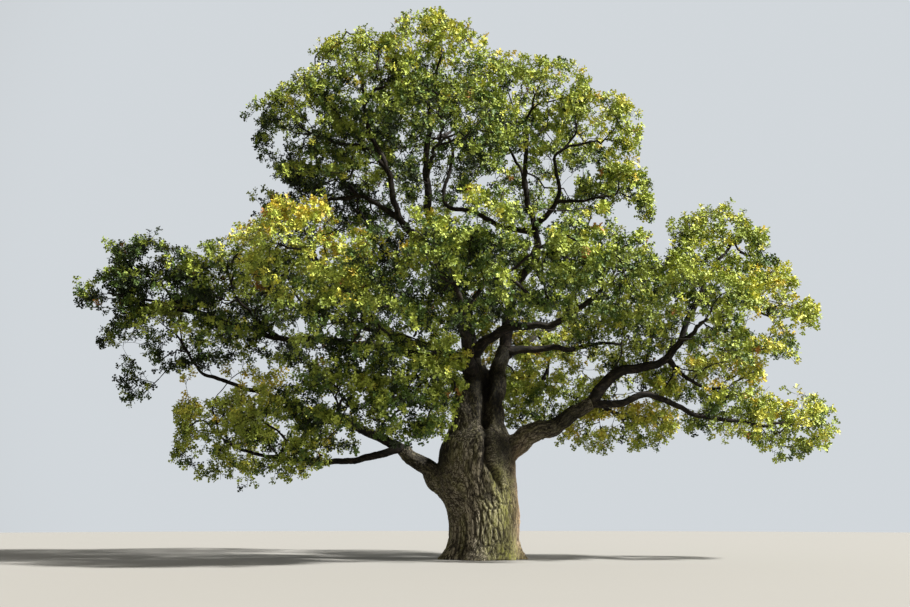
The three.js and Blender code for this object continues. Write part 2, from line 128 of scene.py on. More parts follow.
view = {
    "place": (-1.0, -43.0, 1.6),  # eye height, a little left of the trunk
    "tiltUp": 11.4,  # degrees above level
    "lens": 42.0,  # millimetres on a sensor as wide as this
    "sensor": 36.0,
    "farthest": 500.0,
}
cameraData = bpy.data.cameras.new("camera")
cameraData.lens = view["lens"]
cameraData.sensor_width = view["sensor"]
cameraData.clip_end = view["farthest"]
cameraData.dof.use_dof = False
cameraPiece = addPiece("camera", cameraData)
cameraPiece.location = view["place"]
cameraPiece.rotation_euler = (math.radians(90 + view["tiltUp"]), 0, 0)
bpy.context.scene.camera = cameraPiece


# trunk and limbs: the same lines as the source draws, in metres

trunk = {
    # height, left edge, right edge
    "levels": [
        (0.0, -1.62, 1.7), (0.3, -1.42, 1.6), (0.7, -1.28, 1.56), (1.3, -1.24, 1.55),
        (1.9, -1.33, 1.52), (2.5, -1.64, 1.45), (3.2, -1.78, 1.41), (3.9, -1.72, 1.42),
        (4.5, -1.56, 1.3), (4.9, -1.3, 1.12), (5.2, -0.85, 0.75),
    ],
    "depth": 0.94,  # front to back as a share of the width
    "sides": 110,
    "rings": 70,
    "roots": 7,  # lobes of the root flare
    "rootDepth": 0.1,
    "rootHeight": 0.9,
    "rootCurve": 1.6,  # how fast the flare dies out on the way up
    "rootMean": 0.4,  # the flare between two lobes
    "rootUneven": (0.8, 1.1),  # the lobes stand at uneven angles
    "bulge": 0.055,  # slow swellings of the old wood
    "bulgeScale": (1.3, 0.55),  # round the trunk and up it
    "bulgeWaves": ((1, 1.6), (2.3, 0.8)),  # scale and amount
    "soften": 20,  # its edges are averaged over so many 600ths of its height up and down
}
# where a limb starts, or the limb it leaves and the share of that one's length; its radius at the
# root and at the tip; and the points that it runs through
limbs = {
    "stem_left": ((-0.65, 0, 4.2), (0.85, 0.37), [(-0.5, 0, 5.7), (-0.32, 0.1, 7.1), (-0.35, 0.3, 8.3)]),
    "stem_right": ((0.72, 0.1, 4.2), (0.58, 0.3), [(0.56, 0.15, 6.2), (0.68, 0.35, 7.2), (1.1, 0.8, 8.5)]),
    "leader_centre": (("stem_left", 1), (0.35, 0.12), [(-0.7, 0.5, 10.3), (-1.4, 0.7, 12.3),
        (-2.2, 0.8, 15.1), (-2.1, 0.5, 18.6)]),
    "leader_left": (("leader_centre", 0.36), (0.2, 0.1), [(-3.2, 0.6, 13.8), (-3.8, 0, 15.8),
        (-4.7, -0.3, 17.9)]),
    "bough_upper_left": (("leader_left", 0.42), (0.13, 0.08), [(-4.9, 0.6, 15), (-6.2, 1.1, 15.1)]),
    "leader_right": (("stem_right", 1), (0.28, 0.1), [(1.4, 1.4, 10.7), (2.6, 1.6, 13.4),
        (2.1, 1.5, 15.2), (2.1, 1, 17.4)]),
    "bough_upper_right": (("leader_right", 0.63), (0.14, 0.08), [(3, 1.3, 14.5), (3.5, 1, 15.3),
        (3.3, 0.6, 16.6)]),
    "bough_right_spur": (("bough_upper_right", 0.45), (0.09, 0.06), [(4.2, 0.8, 14.9), (5, 0.6, 15)]),
    "bough_curved": (("leader_right", 0.6), (0.14, 0.08), [(1.3, 1.8, 14), (-0.1, 2, 14.7),
        (-1.4, 2.4, 15.3), (-1.1, 3.2, 17.8)]),
    "bough_low_right": ((0.7, 0, 3.9), (0.55, 0.27), [(1.4, 0, 4.4), (2.2, -0.1, 4.9), (3.4, -0.3, 5.5),
        (4.5, -0.5, 6.1)]),
    "bough_right_high": (("bough_low_right", 1), (0.26, 0.1), [(4.9, -0.6, 6.8), (5.6, -0.6, 7.35),
        (6.7, -0.6, 7.5), (8.1, -0.4, 8.5), (8.6, -0.2, 9.7), (9.3, 0.1, 10.9)]),
    "bough_right_low": (("bough_low_right", 0.97), (0.18, 0.07), [(5.7, -0.8, 6.1), (6.4, -0.9, 6.4),
        (8.7, -0.8, 5.6), (11.2, -0.5, 5.2)]),
    "bough_right_mid": (("bough_right_high", 0.52), (0.12, 0.07), [(8.1, -0.5, 7.3), (8.9, -0.4, 6.8)]),
    "bough_low_left": ((-1, 0, 2.5), (0.5, 0.28), [(-1.9, 0, 3.2), (-2.4, -0.1, 3.7), (-3.1, -0.35, 4.3)]),
    "bough_left_low": (("bough_low_left", 1), (0.18, 0.08), [(-4.1, -0.6, 4.05), (-5.4, -0.5, 3.75),
        (-8.6, -0.1, 4)]),
    "bough_left_mid": (("bough_low_left", 0.97), (0.22, 0.08), [(-4.5, -0.1, 5), (-6.5, 0.2, 5.8),
        (-8.6, 0.6, 6.5), (-11.2, 1.3, 7.4)]),
    "bough_left_high": (("stem_left", 0.84), (0.26, 0.09), [(-3.3, 0.6, 8.4), (-5.8, 0.8, 8.8),
        (-8.6, 0.6, 9), (-12, 0.3, 10.1)]),
    "bough_mid_right_a": (("stem_left", 0.94), (0.24, 0.12), [(0.3, -0.35, 8.7), (1.3, -0.8, 9.1),
        (2.9, -1.3, 9.2), (4.1, -2.1, 9.8)]),
    "bough_mid_right_b": (("stem_right", 0.96), (0.2, 0.1), [(3.1, 0.6, 8.55), (3.8, 0.5, 8.4),
        (4.5, 0.6, 8.6)]),
    "bough_front": (("stem_left", 0.78), (0.25, 0.12), [(-0.6, -2.2, 8.5), (-0.8, -5.2, 9.3)]),
    "bough_front_left": (("stem_left", 0.6), (0.25, 0.11), [(-2, -1.6, 7.6), (-3.6, -2.9, 8.6),
        (-5.1, -3.9, 10)]),
    "bough_back": (("leader_centre", 0.1), (0.25, 0.12), [(-1, 3, 10.3), (-1.2, 5.6, 11.1),
        (-1.2, 7.4, 11.7)]),
    "bough_back_left": (("stem_left", 0.9), (0.24, 0.11), [(-2.6, 2.4, 9), (-4.8, 4.4, 10),
        (-6.2, 5.4, 10.5)]),
    "bough_back_right": (("stem_right", 0.9), (0.22, 0.11), [(2.2, 2.4, 9.1), (3.4, 4.3, 10.1),
        (4.2, 5.4, 10.8)]),
}
limbShape = {
    "taper": 1.4,  # the source's own taper
    "step": 0.08,  # metres between rings
    "wander": 0.3,  # how far a limb strays sideways, as a share of its radius
    "wanderMost": 0.09,
    "waves": (2.6, 1.3, 0.7),  # metres, the lengths of its kinks
    "waveSpread": (0.85, 1.2),
    "endFade": 0.6,  # how soon the kinks set in from either end
    "collar": 0.5,  # swelling where a limb leaves its parent
    "collarLength": 1.8,  # in root radii
    "collarBefore": 0.95,  # a limb that runs on from its parent's tip has none
}
thickLimbs = ["stem_left", "stem_right", "bough_low_right", "bough_low_left"]


def smoothLine(knots, step):
    # centripetal Catmull-Rom through the knots, then evenly spaced points along it
    p = np.array(knots, dtype=float)
    p = np.vstack([2 * p[0] - p[1], p, 2 * p[-1] - p[-2]])
    dense = []
    for i in range(1, len(p) - 2):
        x0, x1, x2, x3 = p[i - 1:i + 3]
        dt0, dt1, dt2 = (np.linalg.norm(b - a) ** 0.5 for a, b in ((x0, x1), (x1, x2), (x2, x3)))
        t1 = ((x1 - x0) / dt0 - (x2 - x0) / (dt0 + dt1) + (x2 - x1) / dt1) * dt1
        t2 = ((x2 - x1) / dt1 - (x3 - x1) / (dt1 + dt2) + (x3 - x2) / dt2) * dt1
        t = np.linspace(0, 1, 60, endpoint=False)[:, None]
        dense.append(x1 + t1 * t + (3 * (x2 - x1) - 2 * t1 - t2) * t ** 2
            + (2 * (x1 - x2) + t1 + t2) * t ** 3)
    return evenLine(np.vstack(dense + [p[-2][None]]), step)


def evenLine(dense, step):
    run = np.concatenate([[0], np.cumsum(np.linalg.norm(np.diff(dense, axis=0), axis=1))])
    count = max(8, int(round(run[-1] / step)) + 1)
    even = np.linspace(0, run[-1], count)
    return np.stack([np.interp(even, run, dense[:, k]) for k in range(3)], axis=1)


def bendLine(start, bend, end, count):
    t = np.linspace(0, 1, count)[:, None]
    return (1 - t) ** 2 * start + 2 * t * (1 - t) * bend + t ** 2 * end


def pointAt(line, share):
    place = min(max(share, 0), 1) * (len(line) - 1)
    low = min(int(place), len(line) - 2)
    return line[low] + (line[low + 1] - line[low]) * (place - low)


def headingAt(line, share):
    low = min(int(min(max(share, 0), 1) * (len(line) - 1)), len(line) - 2)
    return unit(line[low + 1] - line[low])


def headingsOf(line):
    return unit(np.gradient(line, axis=0))


def lineLength(line):
    return float(np.linalg.norm(np.diff(line, axis=0), axis=1).sum())


def ringFrames(line):
    # two directions across the line at every point, carried along so that they never flip
    heading = headingsOf(line)
    across = np.zeros_like(line)
    start = np.cross(heading[0], (0.0, 0.0, 1.0) if abs(heading[0][2]) < 0.9 else (1.0, 0.0, 0.0))
    across[0] = unit(start)
    for i in range(1, len(line)):
        carried = across[i - 1] - heading[i] * np.dot(across[i - 1], heading[i])
        across[i] = unit(carried)
    return across, np.cross(heading, across)


def wander(line, radius, seed):
    # old limbs kink a little to and fro; both ends stay where the frame has them
    rng = np.random.default_rng(seed)
    length = lineLength(line)
    run = np.linspace(0, length, len(line))
    amount = min(radius * limbShape["wander"], limbShape["wanderMost"])
    ends = np.sin(np.pi * np.clip(run / length, 0, 1)) ** limbShape["endFade"]
    moved = line.copy()
    for direction in ringFrames(line):
        wave = np.zeros(len(line))
        for wavelength in limbShape["waves"]:
            phase = rng.uniform(0, 2 * np.pi)
            turns = run * 2 * np.pi / (wavelength * rng.uniform(*limbShape["waveSpread"]))
            wave += np.sin(turns + phase) * wavelength / limbShape["waves"][0]
        moved += direction * (wave * ends * amount)[:, None]
    return moved


def ringPoints(lines, radii, across, third, sides):
    turn = np.arange(sides) * 2 * np.pi / sides
    around = across[..., None, :] * np.cos(turn)[:, None] + third[..., None, :] * np.sin(turn)[:, None]
    return (lines[..., None, :] + radii[..., None, None] * around).reshape(-1, 3)


def ringQuads(tubes, rings, sides):
    tube, ring, side = np.meshgrid(np.arange(tubes), np.arange(rings - 1), np.arange(sides), indexing="ij")
    here = (tube * rings + ring) * sides
    nextSide = (side + 1) % sides
    return np.stack([here + side, here + nextSide, here + sides + nextSide, here + sides + side],
        axis=-1).reshape(-1, 4)


def endFans(rings, sides):
    # from the first and the last ring to the two points that follow all the rings
    ring = np.arange(sides)
    nextOne = (ring + 1) % sides
    base = (rings - 1) * sides
    foot = np.full(sides, rings * sides)
    return np.vstack([np.stack([foot, nextOne, ring], axis=-1),
        np.stack([foot + 1, base + ring, base + nextOne], axis=-1)])


def tubeGrid(line, radii, sides):
    rings = len(line)
    points = ringPoints(line, radii, *ringFrames(line), sides)
    return np.vstack([points, line[:1], line[-1:]]), ringQuads(1, rings, sides), endFans(rings, sides)


limbLines = {}
limbRadii = {}
rootRadii = {"trunk": 1.4}
for order, (name, (origin, (root, tip), through)) in enumerate(limbs.items()):
    carrier, at = origin if len(origin) == 2 else (None, 1)
    start = pointAt(limbLines[carrier], at) if carrier else origin
    line = smoothLine([tuple(start)] + through, limbShape["step"])
    line = wander(line, (root + tip) / 2, 400 + order)
    share = np.linspace(0, 1, len(line))
    radii = tip + (root - tip) * (1 - share) ** limbShape["taper"]
    if at < limbShape["collarBefore"]:
        run = share * lineLength(line)
        radii = radii * (1 + limbShape["collar"] * np.exp(-run / (root * limbShape["collarLength"])))
    limbLines[name] = line
    limbRadii[name] = radii
    rootRadii[name] = root
print("oak: limbs laid out,", round(sum(lineLength(line) for line in limbLines.values())), "m of them")


def trunkGrid():
    levels = np.array(trunk["levels"])
    sides, rings, soften = trunk["sides"], trunk["rings"], trunk["soften"]
    (unevenBy, unevenFrom), (roundScale, upScale) = trunk["rootUneven"], trunk["bulgeScale"]
    heights = np.linspace(0, levels[-1, 0], rings)
    # edges between the levels run smoothly, by a short moving average of the straight ones
    fine = np.linspace(0, levels[-1, 0], 600)
    edges = []
    for column in (1, 2):
        straight = np.interp(fine, levels[:, 0], levels[:, column])
        padded = np.concatenate([np.full(soften, straight[0]), straight, np.full(soften, straight[-1])])
        window = 2 * soften + 1
        soft = np.convolve(padded, np.ones(window) / window, mode="valid")
        edges.append(np.interp(heights, fine, soft))
    points = []
    for height, left, right in zip(heights, *edges):
        flare = max(0, 1 - height / trunk["rootHeight"]) ** trunk["rootCurve"] * trunk["rootDepth"]
        for angle in np.arange(sides) * 2 * np.pi / sides:
            lobes = math.cos(trunk["roots"] * angle + unevenBy * math.sin(2 * angle + unevenFrom))
            spot = Vector((math.cos(angle) * roundScale, math.sin(angle) * roundScale,
                height * upScale + 3.0))
            slow = sum(noise.noise(spot * scale) * trunk["bulge"] * amount
                for scale, amount in trunk["bulgeWaves"])
            half = (right - left) / 2 * (1 + flare * (trunk["rootMean"] + lobes)) + slow
            points.append(((left + right) / 2 + math.cos(angle) * half,
                math.sin(angle) * half * trunk["depth"], height))
    points += [(0.0, 0.0, 0.0), (-0.05, 0.0, levels[-1, 0] + 0.05)]
    return np.array(points), ringQuads(1, rings, sides), endFans(rings, sides)


# the masses of foliage, as in the source: the limb that carries each and where, its centre and reach;
# then the part of the crown it is joined with, and its tint value, painted light and autumn colour
# together:
# 0 deep green in shade to 1 sunlit yellow

masses = {
    "crown_top": ("leader_centre", 1, (-1.6, 0, 21.1), (3, 3.2, 2.4), "crown_top", 0.77),
    "crown_front": ("leader_centre", 0.7, (-1.4, -4, 16), (3.4, 3.2, 3), "crown_right", 0.36),
    "crown_back": ("bough_curved", 1, (-2.4, 5.6, 19.6), (3.8, 3.8, 3.3), "crown_top", 0.5),
    "crown_top_left": ("leader_left", 1, (-4.9, -0.5, 19.6), (3.1, 3.4, 2.5), "crown_top", 0.6),
    "crown_upper_left": ("leader_left", 0.7, (-7.4, -0.4, 17.5), (3, 3.4, 2.6), "crown_left", 0.43),
    "crown_back_left": ("bough_upper_left", 0.5, (-5.9, 4.8, 17.3), (3.6, 3.6, 3.2), "crown_left", 0.44),
    "crown_left_shoulder": ("bough_upper_left", 1, (-7.2, 1.2, 15), (3.1, 3.4, 2.4), "crown_left", 0.42),
    "crown_top_right": ("leader_right", 1, (2.3, -0.5, 18.9), (3.2, 3.6, 2.6), "crown_top", 0.7),
    "crown_back_right": ("leader_right", 0.78, (2.4, 5.6, 17.6), (3.8, 3.8, 3.3), "crown_right", 0.5),
    "crown_upper_right": ("bough_upper_right", 1, (4.7, 0, 17.3), (3, 3.6, 2.8), "crown_right", 0.74),
    "crown_right_spur": ("bough_right_spur", 1, (5.7, 0.2, 15), (2.2, 2.6, 1.7), "crown_right", 0.55),
    "front_centre": ("bough_front", 1, (-1.8, -7.4, 10.2), (3.1, 3, 2.4), "front", 0.45),
    "front_right": ("bough_front", 0.8, (1.7, -6.2, 10.8), (3.1, 3.1, 2.5), "front", 0.5),
    "right_centre": ("bough_mid_right_a", 1, (4.8, -3.2, 11.3), (3, 3.2, 2.5), "front", 0.58),
    "mid_right": ("bough_mid_right_b", 1, (6, 1, 8.7), (2.6, 3.1, 2.2), "right_arm", 0.64),
    "front_left": ("bough_front_left", 1, (-6.3, -4.8, 11.3), (3.1, 3.1, 2.5), "front", 0.96),
    "front_left_low": ("bough_front_left", 0.7, (-4.3, -6.4, 8.1), (3, 2.8, 2.2), "front", 0.48),
    "low_left_inner": ("bough_front_left", 0.35, (-2.8, -4.2, 6), (1.8, 2.2, 2), "low_left", 0.4),
    "low_left_front": ("bough_left_mid", 0.15, (-5.2, -4.6, 5.6), (2.4, 2.6, 2.1), "low_left", 0.46),
    "low_left_mid": ("bough_left_low", 0.6, (-7.6, -2.4, 4.7), (2.4, 2.8, 2.1), "low_left", 0.7),
    "low_left_outer": ("bough_left_low", 1, (-10.6, 0.3, 4.9), (2.5, 3.3, 2.3), "low_left", 0.78),
    "left_arm_under": ("bough_left_mid", 1, (-12.8, 1.2, 9.2), (3.1, 3.4, 2.2), "left_arm", 0.5),
    "left_arm_root": ("bough_left_high", 0.66, (-10, -0.8, 10.6), (3, 3.4, 2.5), "left_arm", 0.48),
    "left_arm_crest": ("bough_left_high", 1, (-13.3, 0.2, 11.3), (2.6, 3.3, 2.3), "left_arm", 0.31),
    "left_arm_tip": ("bough_left_high", 0.9, (-15.2, -0.6, 10.6), (2, 2.4, 1.8), "left_arm", 0.31),
    "right_arm_dome": ("bough_right_high", 1, (10, 0.5, 12.2), (3.2, 3.7, 2.6), "right_arm", 0.66),
    "right_arm_shoulder": ("bough_right_high", 0.86, (12.4, 1.1, 9.9), (2.4, 3.2, 2.6), "right_arm", 0.88),
    "right_arm_front": ("bough_right_high", 0.6, (8.6, -3.3, 9), (2.6, 2.9, 2.2), "right_arm", 0.6),
    "right_arm_low": ("bough_right_mid", 1, (9.9, -0.5, 6.8), (2.9, 3, 1.8), "right_arm", 0.88),
    "right_arm_tip": ("bough_right_low", 1, (12.6, 0, 5.4), (2.2, 2.9, 2), "right_arm", 0.76),
    "low_right_fringe": ("bough_low_right", 0.9, (6.1, 1.8, 5.5), (2.9, 2.5, 1.3), "right_arm", 0.86),
    "back_left": ("bough_back_left", 1, (-8.3, 6.4, 11.6), (3.8, 3.8, 3.2), "back", 0.4),
    "back_centre": ("bough_back", 1, (-1.3, 9.2, 13.2), (4.3, 4, 3.7), "back", 0.45),
    "back_right": ("bough_back_right", 1, (6.2, 6.4, 12.2), (3.9, 3.8, 3), "back", 0.5),
    "low_back": ("bough_back_right", 0.5, (3.2, 4.8, 7.5), (2.9, 3, 2.4), "back", 0.76),
}
massNames = list(masses)
massCentres = np.array([mass[2] for mass in masses.values()], dtype=float)
massReaches = np.array([mass[3] for mass in masses.values()], dtype=float)

stemShape = {
    "bend": 0.35,  # the source's bend where a stem leaves its limb
    "root": 0.11,  # radius, or nearly the limb's own where that is thinner
    "limbShare": 0.95,
    "tip": 0.05,
    "step": 0.12,  # metres between rings
    "wander": 0.22,  # radius that its kinks are meant for
}
stemLines = {}
stemRadii = {}
for order, (name, (limb, at, *_)) in enumerate(masses.items()):
    carrier = limbLines[limb]
    start = pointAt(carrier, at)
    centre = massCentres[order]
    bend = start + headingAt(carrier, at) * np.linalg.norm(centre - start) * stemShape["bend"]
    line = evenLine(bendLine(start, bend, centre, 40), stemShape["step"])
    line = wander(line, stemShape["wander"], 700 + order)
    carrier = limbRadii[limb]
    atRoot = float(np.interp(at, np.linspace(0, 1, len(carrier)), carrier)) * stemShape["limbShare"]
    stemLines[name] = line
    stemRadii[name] = np.linspace(min(stemShape["root"], atRoot), stemShape["tip"], len(line))


# bark: relief carved into the mesh, and the pattern's own coordinates

bark = {
    "voxel": 0.041,  # metres, the grain of the trunk's mesh
    "ridgeSpacing": 0.105,  # metres between fissures on wood of 1 m radius
    "ridgeStretch": 6.0,  # ridges this much longer than wide
    "ridgeDepth": 0.42,  # share of the spacing
    "ridgeSlope": 2.6,  # how fast a fissure's sides rise
    "ridgeRound": 1.5,
    "finer": (2.7, 0.175),  # scale and amount of the relief on the ridges
    "bends": ((0.45, 0.55), (1.1, 0.3)),  # how the ridges wind: scale and amount of two noises
    "faintPatches": (0.28, 0.92, 0.5),  # scale, mean and swing of the ridges' strength from place to place
    "faintest": 0.3,
    "patternShift": 7.31,  # so that no two limbs start with the same bark
    "seamDepth": 0.2,  # the fold where the two stems have grown together
    "seamWidth": 0.13,
    "seamReach": (1.6, 2),  # x and y past which there is no fold
    "seamPaintedShade": 0.8,  # painted shade: how far the ridges darken to the fissures' colour inside the fold
    "lipHeight": 0.25,  # of the wood on both sides of the fold, as a share of its width
    "lipPlace": 2.4,  # in widths from the fold's middle
    "seamFade": (0.9, 0.5),  # metres over which it starts and ends
    "footHeight": 0.25,  # the relief dies out towards the ground
    # height and x of the fold, front of the trunk
    "seamFront": [(2.3, 0.95), (2.65, 0.75), (3.3, 0.52), (3.69, 0.21), (4.38, 0.21),
        (5.08, 0.22), (5.95, 0.22), (6.86, 0.23), (7.4, 0.3)],
    "seamBack": [(2.6, 0.05), (3.6, 0.15), (4.6, 0.12), (5.6, 0.18), (6.8, 0.2), (7.4, 0.3)],
}
# soft spots on the trunk, moss and painted light and shade: centre and reach
barkMossAndPaintedLight = {
    "mossPlace": [(1.0, -1.3, 1.9, 0.5, 0.9, 1.3), (0.7, -1.3, 3.1, 0.25, 0.8, 0.7),
        (1.0, -1.2, 0.3, 0.6, 1.0, 0.9)],
    # painted warm sunlight on the trunk's sunlit right edge
    "paintedSunPlace": [(1.65, -0.4, 1.8, 0.4, 1.2, 2.2), (1.5, -0.2, 3.6, 0.3, 1.0, 0.8)],
    # painted shade, partly dark staining: the fork under the crown, under the boughs and the trunk's shaded
    # left
    "paintedShadeAndStain": [(0.0, 0.0, 7.4, 3.0, 3.0, 2.8), (0.7, -0.2, 6.2, 0.7, 1.0, 1.4),
        (1.1, 0.6, 8.2, 0.9, 0.9, 1.3), (-1.6, -0.3, 4.0, 0.6, 1.5, 1.0), (0.9, -0.8, 4.3, 0.8, 1.2, 0.9),
        (3.4, -0.4, 5.5, 1.7, 0.9, 0.9), (-2.5, -0.2, 3.8, 0.9, 0.8, 0.8)],
}

lineInfo = []  # for each centre point: place, heading, the limb's main way, run, spacing and shift
trunkLine = np.array([((left + right) / 2, 0.0, height) for height, left, right in trunk["levels"]])
woodLines = {"trunk": evenLine(trunkLine, limbShape["step"]), **limbLines, **stemLines}
lineTree = kdtree.KDTree(sum(len(line) for line in woodLines.values()))
for number, (name, line) in enumerate(woodLines.items()):
    spacing = bark["ridgeSpacing"] * rootRadii.get(name, stemShape["root"]) ** 0.5
    main = unit(line[-1] - line[0])
    length = lineLength(line)
    for i, (point, way) in enumerate(zip(line, headingsOf(line))):
        lineTree.insert(Vector(point), len(lineInfo))
        run = length * i / (len(line) - 1)
        lineInfo.append((Vector(point), Vector(way), Vector(main), run, spacing,
            number * bark["patternShift"]))
lineTree.balance()


def barkLines(point):
    # the place in the ridge pattern: across the wood at full size, along it squeezed
    _, nearest, _ = lineTree.find(point)
    centre, way, main, run, spacing, shift = lineInfo[nearest]
    gap = point - centre
    onward = gap.dot(way)
    pattern = gap - way * onward + main * ((run + onward) / bark["ridgeStretch"])
    return pattern / spacing + Vector((shift, 0, shift)), spacing


def seamAt(point):
    # the fold's groove and the lips on both sides of it, each 0 to 1
    seam = bark["seamFront"] if point[1] < 0.1 else bark["seamBack"]
    heights = [height for height, x in seam]
    isPast = any(abs(along) > reach for along, reach in zip(point, bark["seamReach"]))
    if isPast or not heights[0] < point[2] < heights[-1]:
        return 0.0, 0.0
    middle = float(np.interp(point[2], heights, [x for height, x in seam]))
    low, high = bark["seamFade"]
    fade = min(1.0, (point[2] - heights[0]) / low, (heights[-1] - point[2]) / high)
    gap = (point[0] - middle) / bark["seamWidth"]
    return fade * math.exp(-gap * gap), fade * math.exp(-(abs(gap) - bark["lipPlace"]) ** 2)


def carveBark(mesh, isTrunk):
    count = len(mesh.vertices)
    places = np.empty(count * 3, dtype=np.float32)
    normals = np.empty(count * 3, dtype=np.float32)
    mesh.vertices.foreach_get("co", places)
    mesh.vertices.foreach_get("normal", normals)
    places, normals = places.reshape(-1, 3), normals.reshape(-1, 3)
    patterns = np.empty((count, 3), dtype=np.float32)
    cracks = np.empty(count, dtype=np.float32)
    moved = places.astype(float)
    patchScale, mean, swing = bark["faintPatches"]
    fineScale, fineAmount = bark["finer"]
    for i in range(count):
        point = Vector(places[i])
        pattern, spacing = barkLines(point)
        bent = pattern.copy()
        for scale, amount in bark["bends"]:
            bent += noise.noise_vector(pattern * scale) * amount
        distances, _ = noise.voronoi(bent)
        strength = min(1.0, max(bark["faintest"], mean + swing * noise.noise(pattern * patchScale)))
        rise = min(1.0, (distances[1] - distances[0]) * bark["ridgeSlope"])
        ridge = 1 - strength * (1 - rise)
        depth = fineAmount * noise.noise(pattern * fineScale) - (1 - ridge) ** bark["ridgeRound"]
        offset = depth * spacing * bark["ridgeDepth"]
        if isTrunk:
            groove, lips = seamAt(point)
            offset += bark["seamWidth"] * bark["lipHeight"] * lips - bark["seamDepth"] * groove
            # painted shade: inside the fold the ridges take the fissures' dark colour
            ridge *= 1 - bark["seamPaintedShade"] * groove
            offset *= min(1.0, point[2] / bark["footHeight"])
        moved[i] += normals[i] * offset
        patterns[i] = pattern
        cracks[i] = ridge
    if isTrunk:
        moved[:, 2] = np.maximum(moved[:, 2], 0)
        moved[places[:, 2] < bark["voxel"] * 0.9, 2] = 0
    mesh.vertices.foreach_set("co", moved.astype(np.float32).ravel())
    mesh.attributes.new("ridgePlace", "FLOAT_VECTOR", "POINT").data.foreach_set("vector", patterns.ravel())
    mesh.attributes.new("ridgeHeight", "FLOAT", "POINT").data.foreach_set("value", cracks)
    # moss, painted warm sunlight and painted shade, as soft spots on the trunk alone
    for name, spots in barkMossAndPaintedLight.items():
        spotAmount = np.zeros(count)
        for x, y, z, reachX, reachY, reachZ in spots if isTrunk else []:
            apart = ((places - (x, y, z)) / (reachX, reachY, reachZ)) ** 2
            spotAmount = np.maximum(spotAmount, np.exp(-apart.sum(axis=1)))
        mesh.attributes.new(name, "FLOAT", "POINT").data.foreach_set("value", spotAmount.astype(np.float32))
    mesh.update()


def oakBark(name, ridgeHex, crackHex, paleHex, mossHex, mossShare):
    # Thick corky oak bark, weathered: rough and matt, pale dusty ridges over near-black fissures
    material, tree = newMaterial(name)
    place, height, mossPlace, paintedSunPlace, paintedShadeAndStain = (
        addNode(tree, "ShaderNodeAttribute", {"attribute_name": attribute})
        for attribute in ("ridgePlace", "ridgeHeight", "mossPlace", "paintedSunPlace", "paintedShadeAndStain"))
    along = {"Vector": place.outputs["Vector"]}
    # fine plates: 3 to a fissure spacing, about 40 mm on the trunk
    plates = addNode(tree, "ShaderNodeTexVoronoi", {"feature": "DISTANCE_TO_EDGE", "Scale": 3.0}, along)
    grain = addNode(tree, "ShaderNodeTexNoise", {"Scale": 7.0, "Detail": 5.0, "Roughness": 0.65}, along)
    slow = addNode(tree, "ShaderNodeTexNoise", {"Scale": 0.35, "Detail": 3.0}, along)
    plateEdge = addNode(tree, "ShaderNodeMapRange", {"From Min": 0.0, "From Max": 0.16},
        {"Value": plates.outputs["Distance"]})
    relief = addNode(tree, "ShaderNodeMath", {"operation": "MULTIPLY"},
        {0: height.outputs["Fac"], 1: plateEdge.outputs["Result"]})
    withGrain = addNode(tree, "ShaderNodeMath", {"operation": "MULTIPLY_ADD", 1: 0.55},
        {0: grain.outputs["Fac"], 2: relief.outputs["Value"]})
    # dark in the fissures, then the ridges' own colour, and pale where they are worn
    ramp = addNode(tree, "ShaderNodeValToRGB", None, {"Fac": withGrain.outputs["Value"]})
    ramp.color_ramp.elements[0].position = 0.3
    ramp.color_ramp.elements[0].color = linearColour(crackHex)
    ramp.color_ramp.elements[1].color = linearColour(paleHex)
    middle = ramp.color_ramp.elements.new(0.85)
    middle.color = linearColour(ridgeHex)
    mossEdge = addNode(tree, "ShaderNodeMapRange",
        {"From Min": 0.46, "From Max": 0.62, "To Max": mossShare}, {"Value": slow.outputs["Fac"]})
    mossHere = addNode(tree, "ShaderNodeMath", {"operation": "MULTIPLY_ADD", 1: 0.85, "use_clamp": True},
        {0: mossPlace.outputs["Fac"], 2: mossEdge.outputs["Result"]})
    # moss and the painted warm sunlight keep to the ridges
    mossOnRidges, paintedSunOnRidges = (
        addNode(tree, "ShaderNodeMath", {"operation": "MULTIPLY"}, {0: amount, 1: height.outputs["Fac"]})
        for amount in (mossHere.outputs["Value"], paintedSunPlace.outputs["Fac"]))
    colour = ramp.outputs["Color"]
    # painted warm sunlight, then moss, on the ridges; then painted shade, partly dark staining, multiplied
    # over all
    for blend, share, hexText in (
            ("MIX", paintedSunOnRidges.outputs["Value"], "#b09378"),
            ("MIX", mossOnRidges.outputs["Value"], mossHex),
            ("MULTIPLY", paintedShadeAndStain.outputs["Fac"], "#434130")):
        layer = addNode(tree, "ShaderNodeMix",
            {"data_type": "RGBA", "blend_type": blend, 7: linearColour(hexText)}, {0: share, 6: colour})
        colour = layer.outputs[2]
    bump = addNode(tree, "ShaderNodeBump", {"Strength": 0.6, "Distance": 0.012},
        {"Height": withGrain.outputs["Value"]})
    shader = addNode(tree, "ShaderNodeBsdfPrincipled",
        {"Roughness": 0.9, "IOR": 1.45, "Specular IOR Level": 0.3},
        {"Base Color": colour, "Normal": bump.outputs["Normal"]})
    addNode(tree, "ShaderNodeOutputMaterial", None, {"Surface": shader.outputs["BSDF"]})
    return material


def limbGrid(name, edge, fewest, most):
    # edge: metres from point to point round the limb's root
    sides = int(np.clip(2 * math.pi * rootRadii[name] / edge, fewest, most))
    return tubeGrid(limbLines[name], limbRadii[name], sides)


trunkBark = oakBark("weatheredOakBark", "#79715f", "#1a1510", "#aca28c", "#82823a", 0.35)
boughBark = oakBark("shadedOakBark", "#231d17", "#0b0907", "#3b3229", "#30331d", 0.3)

